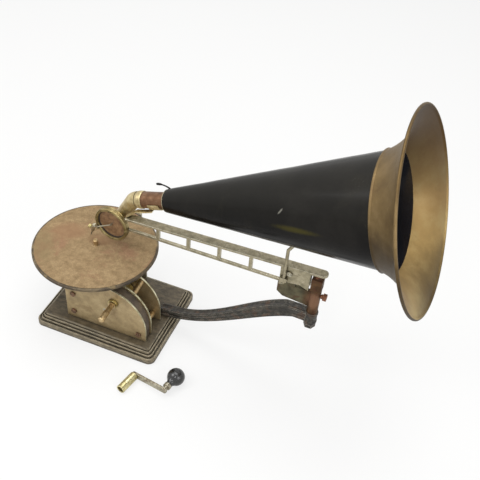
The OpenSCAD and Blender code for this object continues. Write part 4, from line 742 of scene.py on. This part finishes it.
addPiece("supportArm", [armGrid, lathe(boss, 64, turnedFrame(armLook["post"]))],
         "root", "black_iron", ["support_arm"], sharp=28)


# Turntable and felt

print("turntable and felt")
turntableProfile = softCorners([
    (4.23, 112), (11.6, 112), (12, 112.4), (12, 121), (12.6, 121.4), (84.7, 121.4), (85.3, 120.8),
    (85.3, 119.9), (85.8, 119.4), (88.2, 119.4), (88.9, 120.1), (88.9, 121.2), (88.5, 121.6),
    (88.5, 122.1), (88.9, 122.5), (88.9, 123.1), (88, 124), (85, 124.0), (4.23, 124)], 0.4)
addPiece("turntablePlate", [lathe(turntableProfile, 180)],
         "turntable", "turntable_metal", ["turntable"], sharp=40)
feltRows = np.concatenate([[(4.26, 124.02)], np.stack([np.linspace(10, 85, 9), np.full(9, 124.02)], -1),
                           [(85.8, 124.1), (86, 124.45), (85.6, 124.85)],
                           np.stack([np.linspace(85, 6, 40), np.full(40, 124.95)], -1), [(4.26, 124.8)]])
felt = lathe(feltRows, 160)
# worn nap: the top sinks and lifts a little, and the rim above the plate frays inwards
feltLook = {"topFrom": 124.5, "sunk": 0.18, "lift": 0.2, "rimFrom": 124.05, "fray": 0.004}
lift = unevenness(felt, 16, 8) * 0.5 + unevenness(felt, 3.2, 9) * 0.5
nap = felt[..., 2] - feltLook["sunk"] + feltLook["lift"] * np.clip(lift, -1, 1)
felt[..., 2] = np.where(felt[..., 2] > feltLook["topFrom"], nap, felt[..., 2])
fray = feltLook["fray"] * np.clip(unevenness(felt, 6, 10), 0, 1)[..., None]
felt[..., :2] *= 1 - fray * (felt[..., 2:] > feltLook["rimFrom"])
feltPiece = addPiece("turntableFelt", [felt], "turntable", "worn_felt", ["turntable_felt"], sharp=80)


# Soundbox

print("soundbox")
caseProfile = softCorners([
    (7.06, -14), (10.2, -14), (10.9, -13.5), (11, -12.6), (11, -9.7), (11.5, -9.1), (20, -9),
    (23.6, -8.8), (25.4, -8.1), (26.3, -7), (26.3, -6), (25.9, -5.6), (25.9, -4.7), (26.5, -4.2),
    (26.5, -2.25), (24.1, -2.25), (24.1, -4.8), (19.7, -4.8), (19.7, -6), (7.06, -6)], 0.3)
addPiece("soundboxCase", [lathe(caseProfile, 112, soundboxFrame)],
         "soundbox", "soundbox_brass", ["soundbox_case"])
ringProfile = softCorners([
    (22, -2.2), (26.3, -2.2), (26.5, -1.9), (26.5, -0.6), (26.1, 0.1), (25.5, 0.55), (24.9, 0.55),
    (24.4, 0.1), (24, 0.0), (23.5, 0.5), (22.9, 0.55), (22.3, 0.2), (22, -0.6)], 0.3)
rimParts = [lathe(ringProfile, 112, soundboxFrame)]
# two lugs that hold the stylus bar's pivot
lugLook = {"long": 3, "wide": 1.6, "middleX": 0, "corner": 0.5, "degrees": 207, "out": 24.8, "apart": 3.1}
lugRings = roundedRings([(0.8, -0.6), (0, -0.6), (0, 4.0), (0.15, 4.4), (0.45, 4.6), (0.8, 4.6)],
                        lugLook, 5, 2)
for side in (-1, 1):
    rimParts.append(placed(lugRings, soundboxFrame @ turnedFrame((0, 0, 0), (lugLook["degrees"], "Z"))
                           @ turnedFrame((lugLook["out"], lugLook["apart"] * side, 0))))
# four screws, each slot a dip across the head: deep / (1 + e^(edge (distance from the middle line - half)))
headLook = {"out": 24.25, "slotDeep": 0.55, "slotHalf": 0.26, "slotEdge": 30, "crownFrom": 1.2, "turned": 25,
            "turnShare": 0.7}
head = lathe([(0, -0.5), (1.8, -0.5), (1.8, 1.0), (1.7, 1.3), (1.45, 1.5), (1.1, 1.62), (0.75, 1.68),
              (0.4, 1.7), (0, 1.7)], 48)
past = (np.abs(head[..., 1]) - headLook["slotHalf"]) * headLook["slotEdge"]
head[..., 2] -= headLook["slotDeep"] / (1 + np.exp(past)) * (head[..., 2] > headLook["crownFrom"])
for degrees in (0, 90, 180, 270):
    own = turnedFrame((headLook["out"], 0, 0), (degrees * headLook["turnShare"] + headLook["turned"], "Z"))
    rimParts.append(placed(head, soundboxFrame @ turnedFrame((0, 0, 0), (degrees, "Z")) @ own))
addPiece("soundboxRim", rimParts, "soundbox", "soundbox_brass", ["soundbox_ring"])


# Crank knob

print("crank knob")
# a turned collar, the ball and the sunk hole where the stud's head turns
knobLook = {"radius": 12.5, "middle": 26, "bore": 2.56}
knobBall = arcAbout((0, knobLook["middle"]), knobLook["radius"], -52, 70, 34)
knobProfile = np.concatenate([
    [(knobLook["bore"], 9.4), (4.4, 9.4), (4.9, 9.8), (5.1, 10.6), (4.9, 11.4), (5.3, 12.6), (6.4, 14.4)],
    knobBall, [(3.9, 38.0), (3.85, 37.7), (3.85, 35.6), (knobLook["bore"], 35.6)]])
knobFrame = crankFrame @ turnedFrame((0, 0, 0), (-90, "X"))
addPiece("crankKnob", [lathe(knobProfile, 72, knobFrame)],
         "crank_knob", "black_knob", ["crank_knob"], sharp=50)


# Small hook on the horn's thin end

print("horn hook")
hookPath = bezier((103.2, 26.0, 243.6), (96, 27.6, 245.2), (88, 29.3, 244.6), (80.5, 29.6, 241.4), 26)
# a thin wire with a small swelling near its free end
hookRadii = np.interp(np.linspace(0, 1, len(hookPath)),
                      [0, 0.1, 0.55, 0.75, 0.92, 1], [1.0, 1.1, 0.9, 1.7, 1.6, 0.3])
hook = capped(along(hookPath, hookRadii, 16, (0, 1, 0)))
addPiece("hornHook", [hook], "ladder_arm", "horn_black")


# CAD nodes that keep their shape: merged copies with eased corners

easeLook = {"weld": 1e-6, "flatDegrees": 0.9, "creaseDegrees": 34, "segments": 2, "facing": 0.5}
# sheets whose cut edges are rubbed bright and also carry a painted highlight
brightRims = ["front_plate", "middle_plate", "rear_plate"]


def eased(nodeName, width):
    # a copy of a CAD node: triangles joined to whole faces, then every crease rounded by a real bevel
    mesh = nodes[nodeName].data.copy()
    mesh.name = nodeName + "_eased"
    mesh.materials.clear()
    work = bmesh.new()
    work.from_mesh(mesh)
    bmesh.ops.remove_doubles(work, verts=work.verts, dist=easeLook["weld"])
    bmesh.ops.dissolve_limit(work, angle_limit=math.radians(easeLook["flatDegrees"]),
                             verts=work.verts, edges=work.edges)
    work.to_mesh(mesh)
    work.free()
    if nodeName in finishOfNode:
        main = corner = finishOfNode[nodeName]
    else:
        main = finishOfSlot[slotOfNode[nodeName]]
        corner = cornerOfSlot.get(slotOfNode[nodeName], main)
    mesh.materials.append(main)
    mesh.materials.append(corner)
    for name in [a.name for a in mesh.attributes if a.name in ("custom_normal", "sharp_face")]:
        mesh.attributes.remove(mesh.attributes[name])
    if nodeName in brightRims:
        # faces that look along y are the sheet's own, all others are its cut edges
        sideways = np.abs(faceVectors(mesh, "normal")[:, 1]) < easeLook["facing"]
        mesh.polygons.foreach_set("material_index", sideways.astype(np.int32))
    mesh.shade_smooth()
    piece = inScene(nodeName + "_eased", mesh)
    bevel = piece.modifiers.new("easedCorners", "BEVEL")
    bevel.width = width * mm
    bevel.segments = easeLook["segments"]
    bevel.limit_method = "ANGLE"
    bevel.angle_limit = math.radians(easeLook["creaseDegrees"])
    bevel.harden_normals = True
    # the bevel's faces take the corner finish: rubbed metal, on brass, tin and iron also a painted highlight
    bevel.material = 1
    bevel.use_clamp_overlap = True
    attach(piece, bodyOfNode[nodeName])
    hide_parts(nodeName)


print("eased copies of the machined and cast nodes")
# how wide each node's corners are eased, in mm: less on thin and cut work, more on castings
easedWidths = {
    "front_plate": 0.35, "middle_plate": 0.35, "rear_plate": 0.35, "plate_pillars": 0.2,
    "plate_screws": 0.25, "plate_feet": 0.3, "base_screws": 0.2, "dust_cover": 0.2, "plate_bushes": 0.25,
    "spindle_bearings": 0.25, "governor_brackets": 0.25, "click_spring": 0.1, "brake_post": 0.2,
    "speed_bracket": 0.2, "pivot_post": 0.3, "post_nut": 0.4, "crank_socket": 0.5, "crank_arm": 0.4,
    "spindle": 0.4, "drive_arbor": 0.1, "spring_barrel": 0.15, "barrel_cover": 0.2, "barrel_arbor": 0.2,
    "winding_wheel": 0.12, "ratchet_wheel": 0.12, "winding_shaft": 0.3, "click": 0.2,
    "governor_collars": 0.2, "governor_springs": 0.08, "speed_lever": 0.25, "speed_screw": 0.15,
    "brake_lever": 0.3, "yoke": 0.7, "thumb_screw": 0.25, "ladder_arm": 0.45, "hinge_screw": 0.3,
    "horn_cradle": 0.3, "elbow_strap": 0.25, "stylus_bar": 0.12, "needle_screw": 0.12}
for nodeName, width in easedWidths.items():
    eased(nodeName, width)

print("finishes of the nodes that show as they are")
shownAsPacked = [name for name in nodes if not nodes[name].hide_render]
for nodeName in shownAsPacked:
    mesh = nodes[nodeName].data
    mesh.materials.clear()
    mesh.materials.append(finishOfSlot[slotOfNode[nodeName]])


# Floor, light and camera

def seenDirectly(tree, glossyShare):
    # 1 for rays from the camera or through glass, the given share for rays off a shiny surface, else 0
    rays = addNode(tree, "LightPath")
    seen = addNode(tree, "Math", multiplyAdd, {
        0: rays.outputs["Is Glossy Ray"], 1: glossyShare, 2: rays.outputs["Is Camera Ray"]})
    return addNode(tree, "Math", {"operation": "MAXIMUM"}, {
        0: seen, 1: rays.outputs["Is Transmission Ray"]})


print("floor, lights and camera")
floorLook = {"half": 6, "colour": "#E4E4E2", "glow": 0.72, "glossyShare": 0.3}
floorMesh = bpy.data.meshes.new("paleFloor")
corners = [(x * floorLook["half"], y * floorLook["half"], 0) for x, y in ((-1, -1), (1, -1), (1, 1), (-1, 1))]
floorMesh.from_pydata(corners, [], [(0, 1, 2, 3)])
floor = inScene("paleFloor", floorMesh)
floorPaper, tree = newTree("paleStudioPaper")
seen = seenDirectly(tree, floorLook["glossyShare"])
share = addNode(tree, "Math", {"operation": "MULTIPLY"}, {0: seen, 1: floorLook["glow"]})
paper = addNode(tree, "BsdfDiffuse", {}, {"Color": linearColour(floorLook["colour"])})
glow = addNode(tree, "Emission", {}, {"Color": (1, 1, 1, 1), "Strength": 1.0})
mixed = addNode(tree, "MixShader", {}, {0: share, 1: paper, 2: glow})
addNode(tree, "OutputMaterial", {}, {"Surface": mixed})
floorMesh.materials.append(floorPaper)

world = bpy.data.worlds.new("whiteStudio")
bpy.context.scene.world = world
world.use_nodes = True
tree = world.node_tree
tree.nodes.clear()
seen = seenDirectly(tree, 1.0)
# white where it is seen, dimmer where it only lights the object
strength = addNode(tree, "MapRange", {}, {"Value": seen, "To Min": 0.55, "To Max": 1.0})
sky = addNode(tree, "Background", {}, {"Color": (1, 1, 1, 1), "Strength": strength})
addNode(tree, "OutputWorld", {}, {"Surface": sky})

lampLook = {
    "overheadSoftbox": {"at": (0.1, 0.3, 1.7), "aim": (0.12, 0, 0.15), "size": 1.3, "watts": 16},
    "leftSoftbox": {"at": (-1.1, -0.8, 1.75), "aim": (0.12, 0, 0.15), "size": 1.0, "watts": 15},
    "rightSoftbox": {"at": (1.6, -0.8, 1.0), "aim": (0.2, 0, 0.2), "size": 0.8, "watts": 8},
    "frontLamp": {"at": (0.27, -0.93, 0.96), "aim": (0.4, 0.06, 0.29), "size": 0.14, "watts": 2}}
for name, look in lampLook.items():
    lamp = bpy.data.lights.new(name, "AREA")
    lamp.size = look["size"]
    lamp.energy = look["watts"]
    toAim = Vector(look["aim"]) - Vector(look["at"])
    turned = toAim.to_track_quat("-Z", "Y").to_matrix().to_4x4()
    inScene(name, lamp).matrix_world = Matrix.Translation(look["at"]) @ turned

# the camera that took the photo, fitted to it: its place in metres, where it looks from, its tilt and lens
cameraLook = {"at": (0.41519, -0.64609, 0.83509), "azimuth": 17.39, "elevation": 42.31, "roll": 5.79,
              "lens": 54.16, "sensor": 36}
a, e, r = (math.radians(cameraLook[k]) for k in ("azimuth", "elevation", "roll"))
back = np.array([math.sin(a) * math.cos(e), -math.cos(a) * math.cos(e), math.sin(e)])
level = np.array([math.cos(a), math.sin(a), 0])
upright = np.cross(back, level)
right = math.cos(r) * level + math.sin(r) * upright
up = math.cos(r) * upright - math.sin(r) * level
camera = inScene("photoCamera", bpy.data.cameras.new("photoCamera"))
camera.data.lens = cameraLook["lens"]
camera.data.sensor_width = cameraLook["sensor"]
rows = [[right[i], up[i], back[i], cameraLook["at"][i]] for i in range(3)]
camera.matrix_world = Matrix(rows + [[0, 0, 0, 1]])
bpy.context.scene.camera = camera
bpy.context.scene.view_settings.view_transform = "Standard"
